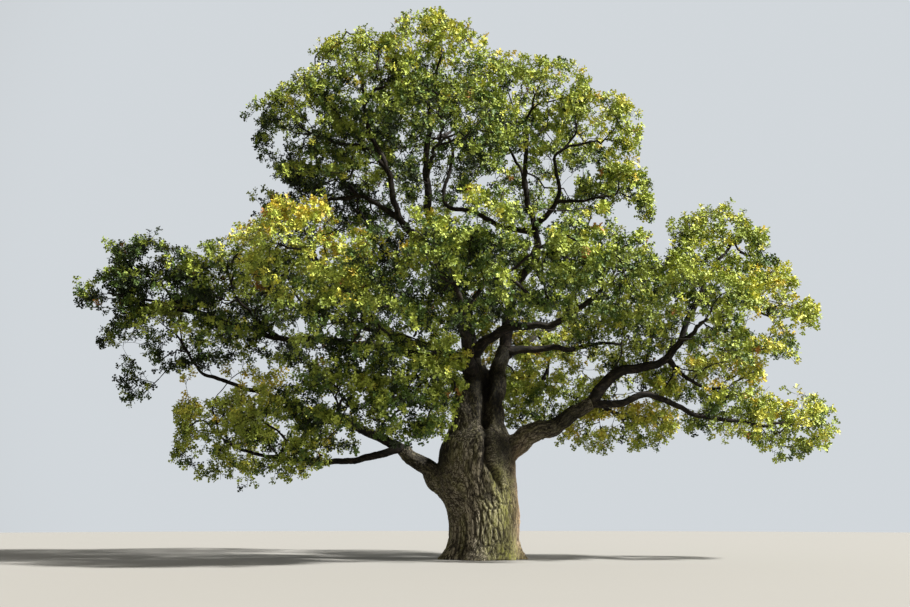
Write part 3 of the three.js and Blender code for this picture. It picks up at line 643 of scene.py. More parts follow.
# the two stems have grown together at the back, so that no light shows through the fold
joinWood = smoothLine([(0.1, 0.15, 4.6), (0.12, 0.15, 6.3), (0.2, 0.45, 7.8)], limbShape["step"])
grids = [trunkGrid(), tubeGrid(joinWood, 0.04 + 0.52 * np.linspace(1, 0, len(joinWood)) ** 0.55, 24)]
grids += [limbGrid(name, 0.06, 24, 64) for name in thickLimbs]
raw = meshObject("trunk_raw", *joinParts(grids), [trunkBark])
remesh = raw.modifiers.new("remesh", "REMESH")
remesh.mode = "VOXEL"
remesh.voxel_size = bark["voxel"]
smoothing = raw.modifiers.new("smooth", "SMOOTH")
smoothing.factor = 0.5
smoothing.iterations = 3
solid = bpy.data.meshes.new_from_object(raw.evaluated_get(bpy.context.evaluated_depsgraph_get()))
bpy.data.objects.remove(raw)
solid.name = "bark_trunk"
carveBark(solid, True)
solid.polygons.foreach_set("use_smooth", np.full(len(solid.polygons), True))
solid.materials.clear()
solid.materials.append(trunkBark)
trunkPiece = addPiece("bark_trunk", solid)
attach(trunkPiece, "root")
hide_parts("trunk", *thickLimbs)
print("oak: trunk carved,", sum(len(face.vertices) - 2 for face in solid.polygons), "triangles")

thinLimbs = [name for name in limbs if name not in thickLimbs]
grids = [limbGrid(name, 0.075, 10, 22) for name in thinLimbs]
grids += [tubeGrid(stemLines[name], stemRadii[name], 9) for name in masses]
points, corners, sizes = joinParts(grids)
boughPiece = meshObject("bark_boughs", points, corners, sizes, [boughBark])
carveBark(boughPiece.data, False)
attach(boughPiece, "root")
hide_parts(*thinLimbs)
print("oak: boughs carved,", int(sum(sizes - 2)), "triangles")


# growth: shoots from the limbs and stems out to the skin of each mass, and twigs on those

growth = {
    "shootsPerMetre": 30,  # how many shoots run to the skin, for a mass's mean reach
    "outerReaches": (1.15, 1.0, 0.84, 0.72, 0.6, 0.48, 0.36),  # shares of its space that a shoot tries
    "innerReaches": (0.62, 0.5, 0.38),
    "innerEvery": 5,  # every fifth shoot stays inside
    "reachSpread": (0.9, 1.06),
    "skin": 0.79,  # how deep in its space, at most, a shoot ends
    "bridge": 1.28,  # the same towards a near neighbour, so that no gap opens between two masses
    # sky shows beside these
    "alone": ("right_arm_dome", "crown_right_spur", "left_arm_tip", "low_right_fringe"),
    "openBelow": -0.35,  # shoots that point down more than this are thinned
    "openShare": 0.5,  # by this
    "endsOut": 0.15,  # shoots end outside the gaps that keep no more than this
    "pathsOut": 0.01,  # and don't cross those that keep none
    "turnCost": 0.8,  # how much a shoot would rather leave wood that already points its way
    "step": 0.28,  # metres between the places that later shoots may leave from
    "limbsWithin": 0.9,  # shoots leave the limbs in this part of the mass's space
    "setOut": 0.35,  # how far a shoot runs on the way of its wood before it bends
    "bendAt": 0.25,  # share of the way to its end
    "arch": 0.06,  # how far it rises there, as a share of its length
    "kink": 0.045,  # how far it strays sideways, as a share of its length
    "pipe": 0.0115,  # radius of a branch that feeds one shoot; others grow with the square root
    "longBranch": 1.1,  # metres; longer ones are drawn with more points
    "points": (4, 8),
    "tipShare": 0.6,  # a branch's tip is drawn this much thinner
    "twigsPerShoot": 10,
    "fewestTwigs": 3,  # a shoot that is left with fewer would hang bare, and isn't grown
    "twigZone": 1.0,  # metres at the end of a shoot that carry its twigs
    "twigsBetween": (0.15, 0.97),  # and never nearer to its root and its tip than this
    "twigLength": (0.24, 0.5),
    "twigRadii": (0.009, 0.005),
    "twigTilt": (0.55, 1.15),  # radians between shoot and twig
    "tipTilt": 0.12,
    "outward": 0.25,
    "twigLimit": 0.89,  # how near a twig's end comes to the skin of its space
    "neighbourMargin": -0.12,  # how far a twig may reach into the next mass's space
    "clumpSize": 1.7,  # metres between the clumps that the sprays gather in
    "clumpHeight": 0.8,  # share of that
    "clumpPull": 0.24,  # how far a shoot's end moves in towards the middle of its clump
    "clumpGap": 0.09,  # how much of the space between two clumps is bare
    "flatten": 0.6,  # twigs spread in level plates, as an oak's sprays do
    "lift": 0.2,
    "fill": {"low_back": 1.15, "low_right_fringe": 0.7, "low_left_inner": 1.5, "low_left_front": 1.15,
        "front_left_low": 1.15, "front_centre": 1.2, "front_right": 1.2, "right_centre": 1.1,
        "back_left": 0.85, "back_centre": 0.85, "back_right": 0.85},
}
# ends of shoots more than the rule gives, where the photo shows leaves between two masses
extraShoots = {
    "left_arm_under": [(-12.6, 0.5, 7.8), (-13.2, 0.5, 7.2), (-13.8, 0.6, 6.6), (-14.4, 0.6, 6.4),
        (-14.6, 0.5, 7), (-14, 0.5, 7.2), (-14.4, 0.4, 7.7), (-13.9, 0.3, 8.6)],
    "left_arm_tip": [(-15.4, 0, 8.7), (-15.1, 0.3, 9.1), (-15.6, 0.2, 9)],
    "crown_upper_right": [(5.2, 0, 19.2), (5.8, 0.3, 18.6), (4.8, -0.4, 19.5), (5.5, -0.8, 18.9),
        (5.2, -0.4, 16.6), (5, 0.2, 16.2), (4.3, -0.2, 20.4), (6.5, 0.2, 17.2)],
    "crown_top": [(-2.2, -0.6, 21.2), (-2.4, 0.2, 20.9), (-2, 0.4, 21.5), (-2.3, -1.5, 22),
        (-1.8, -1, 21.4), (-3, -1, 22.2), (-0.7, -0.8, 21.4), (-1, 0.2, 21.6)],
    "crown_top_left": [(-6.2, -0.4, 20.2), (-5.8, -1, 20.4), (-6.6, 0, 20), (-5.9, 0.4, 19.9),
        (-4.2, -0.9, 20.3), (-4.4, 0.2, 20.1), (-4, 0, 19.7)],
    "crown_top_right": [(0.9, -0.4, 20.1), (0.6, 0.4, 20.2), (2.6, -1, 19), (2.4, 0.2, 18.6),
        (2, -0.4, 21), (3.3, -0.8, 19.7), (1.4, -1, 19.5), (1.2, 0, 19.8)],
    "crown_upper_left": [(-8.3, 0, 19.7), (-7.5, -0.4, 18.1), (-7.7, 0.2, 18.5), (-9, 0.2, 16.8)],
    "crown_left_shoulder": [(-4.4, 1, 13.2), (-3.8, 1.5, 12.6), (-3.4, 1.2, 13.4), (-4.2, 2, 12.2),
        (-3.2, 1.8, 12), (-4.9, 1.5, 12.9), (-3, 2.2, 12.9), (-8.9, 0.4, 15.2), (-4.6, 1.2, 12.2),
        (-3.6, 2, 11.6), (-3.9, 1.5, 13), (-4.3, 1.8, 12.7), (-3.5, 1.8, 12.3), (-4, 2.4, 13.4),
        (-2.9, 1.6, 12.4), (-4.8, 1.5, 14.2), (-5.4, 1, 14), (-4, 2, 14.6), (-5.2, 1.8, 14.8)],
    "crown_right_spur": [(7, 0.2, 14.2), (5, 0.4, 14.6), (7.1, 0.3, 14), (4.9, 0.6, 14.4)],
    "right_arm_dome": [(8.2, 0.3, 13.2), (7.9, 0, 12.3), (10.4, 0.3, 14.4)],
    "right_arm_shoulder": [(12.8, 0.6, 7.3), (11.8, 0.5, 6.9), (13.8, 0.4, 10), (13.9, 0.2, 9.7),
        (13.1, 0.6, 11.2), (12.8, 0.8, 11.9), (12.5, 0.6, 8.3), (12.3, 0.6, 10)],
    "right_arm_tip": [(13.1, 0, 6.6), (12.7, -0.3, 6.5)],
    "right_arm_low": [(7.6, -0.2, 7.4), (8.2, -0.2, 7), (7.3, -0.3, 6.9), (6.9, -0.1, 7.1),
        (7.8, -0.4, 6.6), (11.7, -0.3, 6.8), (9.6, -0.3, 7.3), (8.6, -0.4, 6.5), (9, -0.6, 6.3),
        (9.8, -0.5, 6.1), (10.2, -0.5, 6.4), (8.5, -0.8, 5.2), (9.1, -0.7, 5.1), (9.7, -0.6, 5),
        (7.4, -0.8, 5.6), (6.7, -0.4, 7.2), (6.8, 0, 8.1)],
    "low_right_fringe": [(3.6, 1.6, 4.8), (4.4, 1.6, 4.6), (5.2, 1.8, 4.5), (6.6, 1.6, 4.6),
        (7.3, 1.4, 4.7)],
    "low_left_outer": [(-10.2, 0.3, 7.4), (-9.3, 0, 7.3), (-8.6, 0.2, 7), (-8.9, -0.6, 6.9),
        (-8.2, -0.3, 7.3)],
    "left_arm_root": [(-8, 0, 9.1), (-9.2, -0.3, 8.1), (-8.5, 0, 7.9), (-8, 0.4, 8.2), (-9.7, 0.2, 8.3),
        (-10.6, 0, 8), (-11.4, 0.3, 8.1), (-6.4, -0.8, 11.2), (-5.4, -1, 10.8), (-5.8, 0.8, 11.2),
        (-4.6, 0.2, 10.9), (-6.8, 0.6, 11.5), (-4.8, -1.8, 11.4), (-6, 1.8, 11), (-7.3, -0.2, 11.8),
        (-10.5, -0.8, 11.7), (-10, -0.6, 11.8), (-11, -0.5, 11.7)],
    "low_left_inner": [(-1.3, -3, 7.3), (-1.7, -3.4, 6.5), (-1.3, -2.7, 5.8), (-1, -2.4, 6.7),
        (-1.8, -3, 5.2), (-1.5, -2.2, 8), (-1.2, -2, 6.1), (-1, -2, 6.6), (-1.1, -2, 7.1),
        (-0.8, -1.8, 7.5), (-1.3, -1.8, 7.7), (-0.6, -1.5, 8), (-1.4, -2.2, 5.5), (-1.5, -2.2, 5.1),
        (-1.8, -2.3, 4.8), (-2.2, -2.5, 4.7)],
    "low_back": [(1.9, 2.6, 6.9), (1.7, 2.4, 6.1), (2.5, 2.8, 6), (0.6, 2.6, 8.7), (0.3, 2.4, 8),
        (2.2, 2.2, 7.6), (1.8, 3, 5.4), (2.9, 2.6, 5.2), (1.5, 1.8, 7.3), (1.6, 1.6, 6.5), (2, 1.8, 8.2),
        (2.8, 1.8, 8), (3.4, 2, 7.6), (2.4, 2, 6.8), (3.2, 2.2, 6.8), (0.9, 1.7, 9.3), (1.9, 1.7, 9.1),
        (2.5, 1.6, 9.4), (3, 1.6, 9), (0.3, 1.8, 8.7), (1.4, 2.2, 9.8), (-0.4, 2, 9.2), (0.8, 2, 10.3),
        (0.4, 2, 9.6), (0.6, 1.9, 8.3), (0.2, 2.4, 9.4), (0.5, 2.6, 9.9), (0.1, 2.2, 9.9),
        (0.3, 3, 10.3), (1.8, 2, 9.4), (2.1, 2, 9.9), (1.6, 1.6, 8.9), (1.9, 1.6, 8.6), (1.4, 1.5, 6),
        (1.5, 1.6, 5.5), (1.3, 1.6, 6.9)],
    "front_left_low": [(-1.9, -4.6, 8.2), (-1.6, -4, 8.9), (-1.4, -3.6, 8)],
    "front_left": [(-3.8, -4, 11.9), (-3.3, -4, 11.3), (-4.2, -4, 11.1), (-3.6, -4.5, 10.1)],
    "front_centre": [(-1.9, -4, 12.8), (-1.6, -4, 12.5), (-2, -4, 12.2), (-1.4, -4, 12.1),
        (-1.7, -4.2, 13.1), (-0.8, -1.2, 12), (-1.8, -1, 12.3), (0.2, -0.6, 11.8), (-0.6, -0.4, 11.2),
        (-2.4, -1.6, 11.6), (-1.4, -2.8, 11.4), (-0.2, -2, 12.4), (-1.4, -2.2, 12.6), (0.6, -1.6, 12.2),
        (-2.6, -4, 11.5), (-2.3, -4, 10.9), (-2.4, -3, 12.2), (-1.6, -3.5, 11.7), (-1.6, -4, 10.6),
        (-1, -4, 10), (-0.8, -4, 11.1), (-0.4, -4, 11.9), (-3.1, -3.5, 12.2), (-1.2, -4.5, 12.6)],
    "front_right": [(0.7, -3, 9.8), (1.3, -3, 10), (0.7, -4, 10.8), (0.4, -4.5, 12.4), (1.4, -4.6, 12.6),
        (0, -2.5, 9.8), (0.4, -2.5, 9.5), (-0.4, -3, 9.8), (0.8, -2, 9.4), (1.3, -2.5, 9.6),
        (-0.2, -2, 9.4), (-1, -2.5, 9.4), (-0.5, -1.5, 8.8), (-0.4, -1.2, 9.2), (-0.7, -1.6, 9.5)],
    "right_centre": [(1.9, -2.5, 9.5), (2.5, -3, 9.6), (1.6, -2, 9.2), (2.1, -3, 9.9), (2.8, -3, 9.8),
        (2.4, -1.2, 12.3), (3, -0.5, 12.6), (2, -0.6, 11.9), (3.4, -1.5, 12.7), (1.5, -1.8, 12.2),
        (1.9, -3, 11.8), (2.2, -3, 12), (2.5, -3, 11.7), (1.8, -3, 11.3), (2.1, -3, 11.5)],
    "left_arm_crest": [(-15.2, -0.2, 12.5), (-14.9, 0.2, 12.6), (-15, 0.6, 12.3)],
}
# where sky shows, as seen from the photo's side against the trunk's plane: the share of the twigs that
# stays, and for each place its x, z, half width and half height
skyGaps = {
    0: [(7.6, 13.2, 0.4, 1.1), (6.3, 14.3, 0.4, 0.25), (6.9, 13.65, 0.3, 0.22), (-16.5, 12.3, 1.1, 0.6),
        (-17.4, 10.8, 0.5, 1.6), (-16.4, 9.3, 0.8, 0.8), (-11.9, 13.6, 1.1, 0.85),
        (-8.4, 21.2, 0.9, 0.7), (-4.1, 23.7, 0.6, 0.4), (-0.3, 23.7, 0.9, 0.4), (1, 23, 1.25, 0.75),
        (5.9, 20.7, 1.3, 0.8), (7.7, 17.4, 0.5, 1.3), (14.5, 10.4, 0.5, 1.2), (12.6, 13.3, 0.5, 0.9),
        (-13, 5.1, 0.75, 1.7)],
    0.05: [(2, 16.8, 0.24, 0.4), (3.05, 17.5, 0.3, 0.3), (3.8, 15.4, 0.4, 0.7), (2.85, 16.4, 0.36, 0.36),
        (11.5, 9.5, 0.6, 0.5), (3.1, 21.5, 0.95, 0.4), (1.4, 22.1, 0.6, 0.5), (-4.2, 22.8, 0.45, 0.45),
        (12.4, 7.8, 0.36, 0.3), (0.65, 21.8, 0.3, 0.4), (-0.1, 22.7, 0.35, 0.3), (3.7, 21.3, 0.4, 0.22),
        (6.45, 13.6, 0.3, 0.28), (4.2, 8.2, 0.38, 0.28)],
    0.1: [(4.7, 16, 0.45, 0.28), (0, 15.6, 0.4, 0.3), (0.8, 15.8, 0.3, 0.28), (-11, 6.85, 0.95, 0.6),
        (-12.9, 7, 0.4, 0.5), (-10.2, 15.5, 0.5, 0.8), (13.6, 12.1, 0.6, 0.5), (12.7, 6.95, 1.3, 0.6),
        (-12.6, 8.3, 0.4, 0.4), (-9.8, 15.6, 0.5, 0.55), (-9.8, 17.9, 0.4, 0.4),
        (-10.1, 16.9, 0.35, 0.6), (-3.6, 23.2, 0.35, 0.25), (13.8, 11, 0.28, 0.4),
        (6.85, 18.8, 0.25, 0.25), (1.5, 21.6, 0.28, 0.28), (3.9, 21.2, 0.35, 0.18),
        (-10.6, 13.4, 0.34, 0.25), (14.1, 9.7, 0.25, 0.3), (-16.6, 11.7, 0.6, 0.3),
        (-15.6, 9.15, 0.42, 0.3), (-13.1, 13.2, 0.45, 0.28), (-16.9, 10.6, 0.25, 0.42),
        (-9.1, 19.9, 0.32, 0.38), (-0.8, 23.1, 0.6, 0.3), (5.35, 19.9, 0.6, 0.45), (7.5, 15.8, 0.3, 0.5),
        (4.95, 13.85, 0.5, 0.3), (-12.6, 13, 0.6, 0.35), (13.5, 10.8, 0.24, 0.36), (11.8, 14, 0.5, 0.3),
        (14.2, 6.4, 0.4, 0.4), (13.95, 10.7, 0.32, 0.5), (13.2, 9.1, 0.5, 0.22),
        (4.7, 21.15, 0.28, 0.25), (-7.4, 20.9, 0.28, 0.35), (1.8, 21.6, 0.35, 0.2),
        (7, 16.2, 0.28, 0.25), (7.15, 17.8, 0.25, 0.28), (4.5, 7.4, 0.4, 0.3)],
    0.15: [(-14.2, 8.5, 0.4, 0.35), (13.4, 7.8, 0.28, 0.3), (-9.1, 15.9, 0.35, 0.25),
        (-9.9, 13.9, 0.35, 0.2), (-9.5, 14.4, 0.4, 0.5), (-15.45, 9.9, 0.35, 0.4),
        (-13.3, 7.1, 0.45, 0.25), (-14, 7.85, 0.24, 0.3), (-14.6, 8.4, 0.3, 0.3), (7.2, 17.4, 0.3, 0.8),
        (6.1, 14.2, 0.6, 0.6), (12.3, 12.4, 0.5, 0.28), (2.7, 7.4, 0.3, 0.25)],
    0.2: [(-3.3, 16.7, 0.4, 0.3), (-8.3, 15.2, 0.5, 0.3), (-7.6, 17.4, 0.4, 0.25), (11.9, 7.5, 0.3, 0.35)],
    0.25: [(4.6, 5.3, 1, 0.25)],
    0.3: [(-5.4, 15.8, 0.4, 0.4)],
    0.35: [(-9.9, 7.55, 0.3, 0.35)],
    0.6: [(-0.5, 17.8, 0.9, 0.7)],
    0.85: [(3.3, 16.4, 1.7, 1.5)],
}
# the same for the leaves in front alone, where the photo looks past them into the shaded crown
clearings = {
    0.2: [(-4.2, 14.4, 0.9, 0.9), (-6.9, 15.3, 1.9, 0.5)],
    0.25: [(-5.5, 14.2, 0.7, 0.8), (-3.8, 12.6, 0.7, 1)],
    0.3: [(-3.2, 13.6, 0.6, 0.6)],
}
clearingFront = -1.5  # metres, the depth that such a leaf lies in front of
# stretches of the limbs, as shares of their length, that show dark through the leaves in front
windows = {
    "leader_centre": (0.62, 0.85), "leader_left": (0.3, 1), "bough_curved": (0.25, 1),
    "leader_right": (0.5, 0.9), "bough_upper_right": (0, 1), "bough_right_spur": (0, 1),
    "bough_upper_left": (0.3, 1), "bough_right_high": (0.15, 0.85), "bough_right_low": (0.1, 0.62),
    "bough_right_mid": (0.2, 0.9),
}
windowShape = {"halfWidth": 0.42, "kept": 0.15}
goldenAngle = math.pi * (3 - math.sqrt(5))


def depthsAt(points):
    # how deep each point lies in every mass's space: 0 at its centre and 1 on its skin
    return np.linalg.norm((points[:, None, :] - massCentres) / massReaches, axis=2)


def inOwnSpace(points, index, limit, margin):
    depths = depthsAt(points)
    own = depths[:, index].copy()
    depths[:, index] = np.inf
    nextOne = depths.min(axis=1)
    isBetween = (own < growth["bridge"]) & (nextOne < growth["bridge"])
    isBetween &= massNames[index] not in growth["alone"]
    return ((own < limit) | isBetween) & (nextOne > own + margin)


def onTrunkPlane(points):
    # where a point shows against the trunk's plane, from the photo's side: x and z
    eye = np.array(view["place"])
    share = eye[1] / (eye[1] - points[:, 1])
    return eye[[0, 2]] + (points[:, [0, 2]] - eye[[0, 2]]) * share[:, None]


windowPoints = []
for name, (first, last) in windows.items():
    stretch = limbLines[name][int(first * len(limbLines[name])):int(last * len(limbLines[name]))]
    windowPoints.append(np.column_stack([onTrunkPlane(stretch), stretch[:, 1]])[::2])
windowPoints = np.vstack(windowPoints)


def inSkyGap(ends, chance, gaps=skyGaps):
    # which ends go: those in a gap whose chance isn't below the share that stays
    seen = onTrunkPlane(ends)
    dropped = np.zeros(len(ends), dtype=bool)
    for kept, places in gaps.items():
        for x, z, halfWidth, halfHeight in places:
            inside = np.hypot((seen[:, 0] - x) / halfWidth, (seen[:, 1] - z) / halfHeight) < 1
            dropped |= inside & (chance >= kept)
    return dropped


def showsSky(ends, rng):
    # which twigs stand in a gap, veil a clearing or hide a limb that the photo shows
    seen = onTrunkPlane(ends)
    chance = rng.random(len(ends))
    apart = np.linalg.norm(seen[:, None] - windowPoints[None, :, :2], axis=2) < windowShape["halfWidth"]
    inFront = ends[:, 1][:, None] < windowPoints[None, :, 2]
    hidesLimb = (apart & inFront).any(axis=1) & (chance >= windowShape["kept"])
    isVeil = inSkyGap(ends, chance, clearings) & (ends[:, 1] < clearingFront)
    return inSkyGap(ends, chance) | hidesLimb | isVeil


def spiralDirections(count, pole, turn):
    # even directions round a pole, with the gap on its far side, where the stem comes in
    order = np.arange(count)
    height = 1 - (2 * order + 1) / (count + 1)
    radius = np.sqrt(1 - height ** 2)
    angle = order * goldenAngle + turn
    directions = np.stack([np.cos(angle) * radius, np.sin(angle) * radius, height], axis=1)
    upright = Vector((0, 0, 1)).rotation_difference(Vector(pole)).to_matrix()
    return directions @ np.array(upright).T


def awayFrom(heading, hint, angle):
    # the direction straight across the heading at this angle; the hint sets where the angle starts
    side = unit(np.cross(heading, hint))
    return math.cos(angle) * side + math.sin(angle) * np.cross(heading, side)


sproutShape = {
    "perMetre": 2.1,
    "length": (0.8, 1.7),
    "onward": 0.6,  # how far it leans along its limb, and up
    "lift": 0.25,
    "curve": 0.12,
    "kink": 0.04,
    "lowest": 3.6,  # the trunk and the roots of the low boughs stay bare
    "bareRoot": 1.3,  # metres at the start of a bough
    "nearMass": 1.55,  # only where a mass is this near, as a share of its reach
}
bareLimbs = ["bough_low_right", "bough_low_left"]


def growSprouts():
    # short branches straight from the limbs, each counted to the mass that it is nearest to
    found = {index: [] for index in range(len(massNames))}
    rng = np.random.default_rng(77)
    for name, line in limbLines.items():
        length = lineLength(line)
        for k in range(int(length * sproutShape["perMetre"])):
            share = (k + rng.uniform(0.1, 0.9)) / (length * sproutShape["perMetre"])
            start, heading = pointAt(line, share), headingAt(line, share)
            around = awayFrom(heading, (0.2, 0.3, 1.0), k * goldenAngle + rng.uniform(-0.4, 0.4))
            reach = rng.uniform(*sproutShape["length"])
            lean = unit(heading * sproutShape["onward"] + around + np.array([0, 0, sproutShape["lift"]]))
            end = start + lean * reach
            depths = depthsAt(end[None])[0]
            nearest = int(np.argmin(depths))
            if name in bareLimbs or share * length < sproutShape["bareRoot"]:
                continue
            if end[2] < sproutShape["lowest"] or depths[nearest] > sproutShape["nearMass"]:
                continue
            t = np.linspace(0, 1, 6)[:, None]
            branch = start + (end - start) * t + np.array([0, 0, sproutShape["curve"]]) * reach * t ** 2
            branch += rng.normal(0, sproutShape["kink"] * reach, branch.shape) * np.sin(np.pi * t)
            found[nearest].append(branch)
    return found


def shootLine(start, onward, end, count, rng):
    # one bend along the line it leaves, and a few small kinks between its ends
    span = np.linalg.norm(end - start)
    ahead = max(0.0, float(np.dot(onward, end - start)) / span)
    bend = start + onward * span * growth["setOut"] * ahead + (end - start) * growth["bendAt"]
    bend = bend + np.array([0, 0, growth["arch"]]) * span
    kinks = rng.normal(0, growth["kink"] * span, (count, 3))
    return bendLine(start, bend, end, count) + kinks * np.sin(np.pi * np.linspace(0, 1, count))[:, None]


def clumpAt(point):
    # how far the point is from the edge of its clump, how high in it, and the clump's middle
    place = Vector((point[0], point[1], point[2] / growth["clumpHeight"])) / growth["clumpSize"]
    distances, centres = noise.voronoi(place)
    middle = np.array(centres[0]) * growth["clumpSize"] * np.array([1, 1, growth["clumpHeight"]])
    return distances[1] - distances[0], place.z - centres[0].z, middle


def shootEnds(index, pole, rng):
    # spread over the mass's skin and drawn in towards the clumps, in a mixed order
    centre, reach = massCentres[index], massReaches[index]
    fill = growth["fill"].get(massNames[index], 1)
    count = int(round(reach.mean() * growth["shootsPerMetre"] * fill))
    found = []
    for order, way in enumerate(spiralDirections(count, pole, rng.uniform(0, 2 * math.pi))):
        isThinned = way[2] < growth["openBelow"] and rng.random() < growth["openShare"]
        kind = "innerReaches" if order % growth["innerEvery"] == 2 else "outerReaches"
        reaches = np.array(growth[kind]) * rng.uniform(*growth["reachSpread"])
        ends = centre + way * reach * reaches[:, None]
        good = inOwnSpace(ends, index, growth["skin"], 0)
        end = ends[np.argmax(good)]
        if isThinned or not good.any() or inSkyGap(end[None], growth["endsOut"])[0]:
            continue
        gathered = end + (clumpAt(end)[2] - end) * growth["clumpPull"]
        isInside = inOwnSpace(gathered[None], index, growth["skin"], growth["neighbourMargin"])[0]
        found.append(gathered if isInside else end)
    return [found[place] for place in rng.permutation(len(found))]


def growTwigs(paths, centre, reach, rng):
    # a flattened spiral round each shoot, and the last twig runs on from its tip
    starts, headings, lengths, owners = [], [], [], []
    count = growth["twigsPerShoot"]
    earliest, last = growth["twigsBetween"]
    for owner, (line, places) in enumerate(paths):
        first = max(earliest, 1 - growth["twigZone"] / lineLength(line))
        phase = rng.uniform(0, 2 * math.pi)
        for k in range(count):
            isTip = k == count - 1
            share = 1.0 if isTip else first + (last - first) * (k + rng.uniform(0.1, 0.9)) / (count - 1)
            start, heading = pointAt(line, share), headingAt(line, share)
            around = awayFrom(heading, (0.3, 0.2, 1.0), phase + k * goldenAngle)
            tilt = growth["tipTilt"] if isTip else rng.uniform(*growth["twigTilt"])
            twig = math.cos(tilt) * heading + math.sin(tilt) * around
            twig += growth["outward"] * unit((start - centre) / reach)
            twig[2] = twig[2] * growth["flatten"] + growth["lift"]
            starts.append(start)
            headings.append(unit(twig))
            lengths.append(rng.uniform(*growth["twigLength"]))
            owners.append(owner)
    starts = np.array(starts)
    return starts, starts + np.array(headings) * np.array(lengths)[:, None], np.array(owners)


def growMass(index, rng):
    # each shoot runs to its end from the nearest wood that is already there and points its way,
    # so that the branches divide again and again as they go out
    centre, reach = massCentres[index], massReaches[index]
    stem = stemLines[massNames[index]]
    wood = [stem[len(stem) // 4::2]]
    headings = [headingsOf(stem)[len(stem) // 4::2]]
    for line in limbLines.values():
        inside = np.linalg.norm((line - centre) / reach, axis=1) < growth["limbsWithin"]
        inside[::4] = False
        wood.append(line[inside])
        headings.append(headingsOf(line)[inside])
    wood, headings = np.vstack(wood), np.vstack(headings)
    parents = [-1] * len(wood)

    targets = shootEnds(index, headingAt(stem, 1), rng)
    extras = np.array(extraShoots.get(massNames[index], []), dtype=float)
    paths, isExtra = [], []
    for order, end in enumerate([*targets, *extras]):
        gaps = end - wood
        far = np.linalg.norm(gaps, axis=1)
        cost = far * (1 + growth["turnCost"] * (1 - (unit(gaps) * headings).sum(axis=1)))
        origin = int(np.argmin(cost))
        steps = max(3, int(round(far[origin] / growth["step"])) + 1)
        line = shootLine(wood[origin], headings[origin], end, steps, rng)
        if inSkyGap(line[1:], growth["pathsOut"]).any():
            continue
        places = [origin, *range(len(wood), len(wood) + steps - 1)]
        paths.append((line, places))
        isExtra.append(order >= len(targets))
        parents += places[:-1]
        wood = np.vstack([wood, line[1:]])
        headings = np.vstack([headings, headingsOf(line)[1:]])
    for sprout in sprouts[index]:
        places = list(range(len(wood), len(wood) + len(sprout)))
        paths.append((sprout, places))
        isExtra.append(False)
        parents += [-1, *places[:-1]]
        wood = np.vstack([wood, sprout])

    starts, ends, owners = growTwigs(paths, centre, reach, rng)
    fits = inOwnSpace(ends, index, growth["twigLimit"], growth["neighbourMargin"])
    fits &= np.array([clumpAt(end)[0] for end in ends]) > rng.uniform(0, growth["clumpGap"], len(ends))
    fits |= np.array(isExtra)[owners]
    fits &= ~showsSky(ends, rng)
    carried = np.bincount(owners[fits], minlength=len(paths))
    fits &= carried[owners] >= growth["fewestTwigs"]
    carried[carried < growth["fewestTwigs"]] = 0
    twigs = np.stack([starts[fits], ends[fits]], axis=1)
    isSprout = owners[fits] >= len(paths) - len(sprouts[index])

    # how many shoots' twigs each point of the wood feeds; wood that feeds none isn't drawn
    feeds = np.zeros(len(wood))
    for (line, places), count in zip(paths, carried):
        at = places[-1]
        while at >= 0 and count:
            feeds[at] += count / growth["twigsPerShoot"]
            at = parents[at]
    branches = []
    for line, places in paths:
        used = int(np.count_nonzero(feeds[places[1:]])) + 1
        if used < 2:
            continue
        line = line[:used]
        radii = growth["pipe"] * np.sqrt(feeds[places[:used]])
        radii[0] = radii[1]
        share = np.linspace(0, 1, growth["points"][lineLength(line) > growth["longBranch"]])
        along = np.linspace(0, 1, used)
        branches.append((np.stack([np.interp(share, along, line[:, k]) for k in range(3)], axis=1),
            np.interp(share, along, radii) * np.where(share > 0.99, growth["tipShare"], 1.0)))
    return branches, twigs, isSprout


# leaves: a star at each twig's end and others along it, each one opaque lobed outline

spray = {
    "endLeaves": 5,
    "sideLeaves": 5,
    "leafLength": 0.19,  # about half as long again as life, so that the count stays low
    "leafSpread": (0.78, 1.2),
    "leafWidth": 0.64,  # share of the length
    "sideZone": (0.2, 0.75),  # where on the twig the leaves along it start, and how far they go on
    "shareLoose": 0.04,
    "turnLoose": 0.35,
    "endTilt": (0.6, 1.35),  # radians between leaf and twig
    "sideTilt": (0.7, 1.3),
    "droop": 0.14,
    "faceUp": 0.75,
    "faceOut": 0.45,
    "faceLoose": 0.6,
}
# one leaf: stalk end, the middle of the midrib, the tip, and two lobes on each side of it
leafOutline = np.array([
    (0.0, 0.0, 0.0), (0.52, 0.0, 0.0), (1.0, 0.0, -0.08),
    (0.36, 0.4, 0.06), (0.74, 0.5, 0.03),
    (0.36, -0.4, 0.06), (0.74, -0.5, 0.03),
])
leafFaces = np.array([(0, 1, 3), (1, 2, 4), (0, 5, 1), (1, 6, 2)])


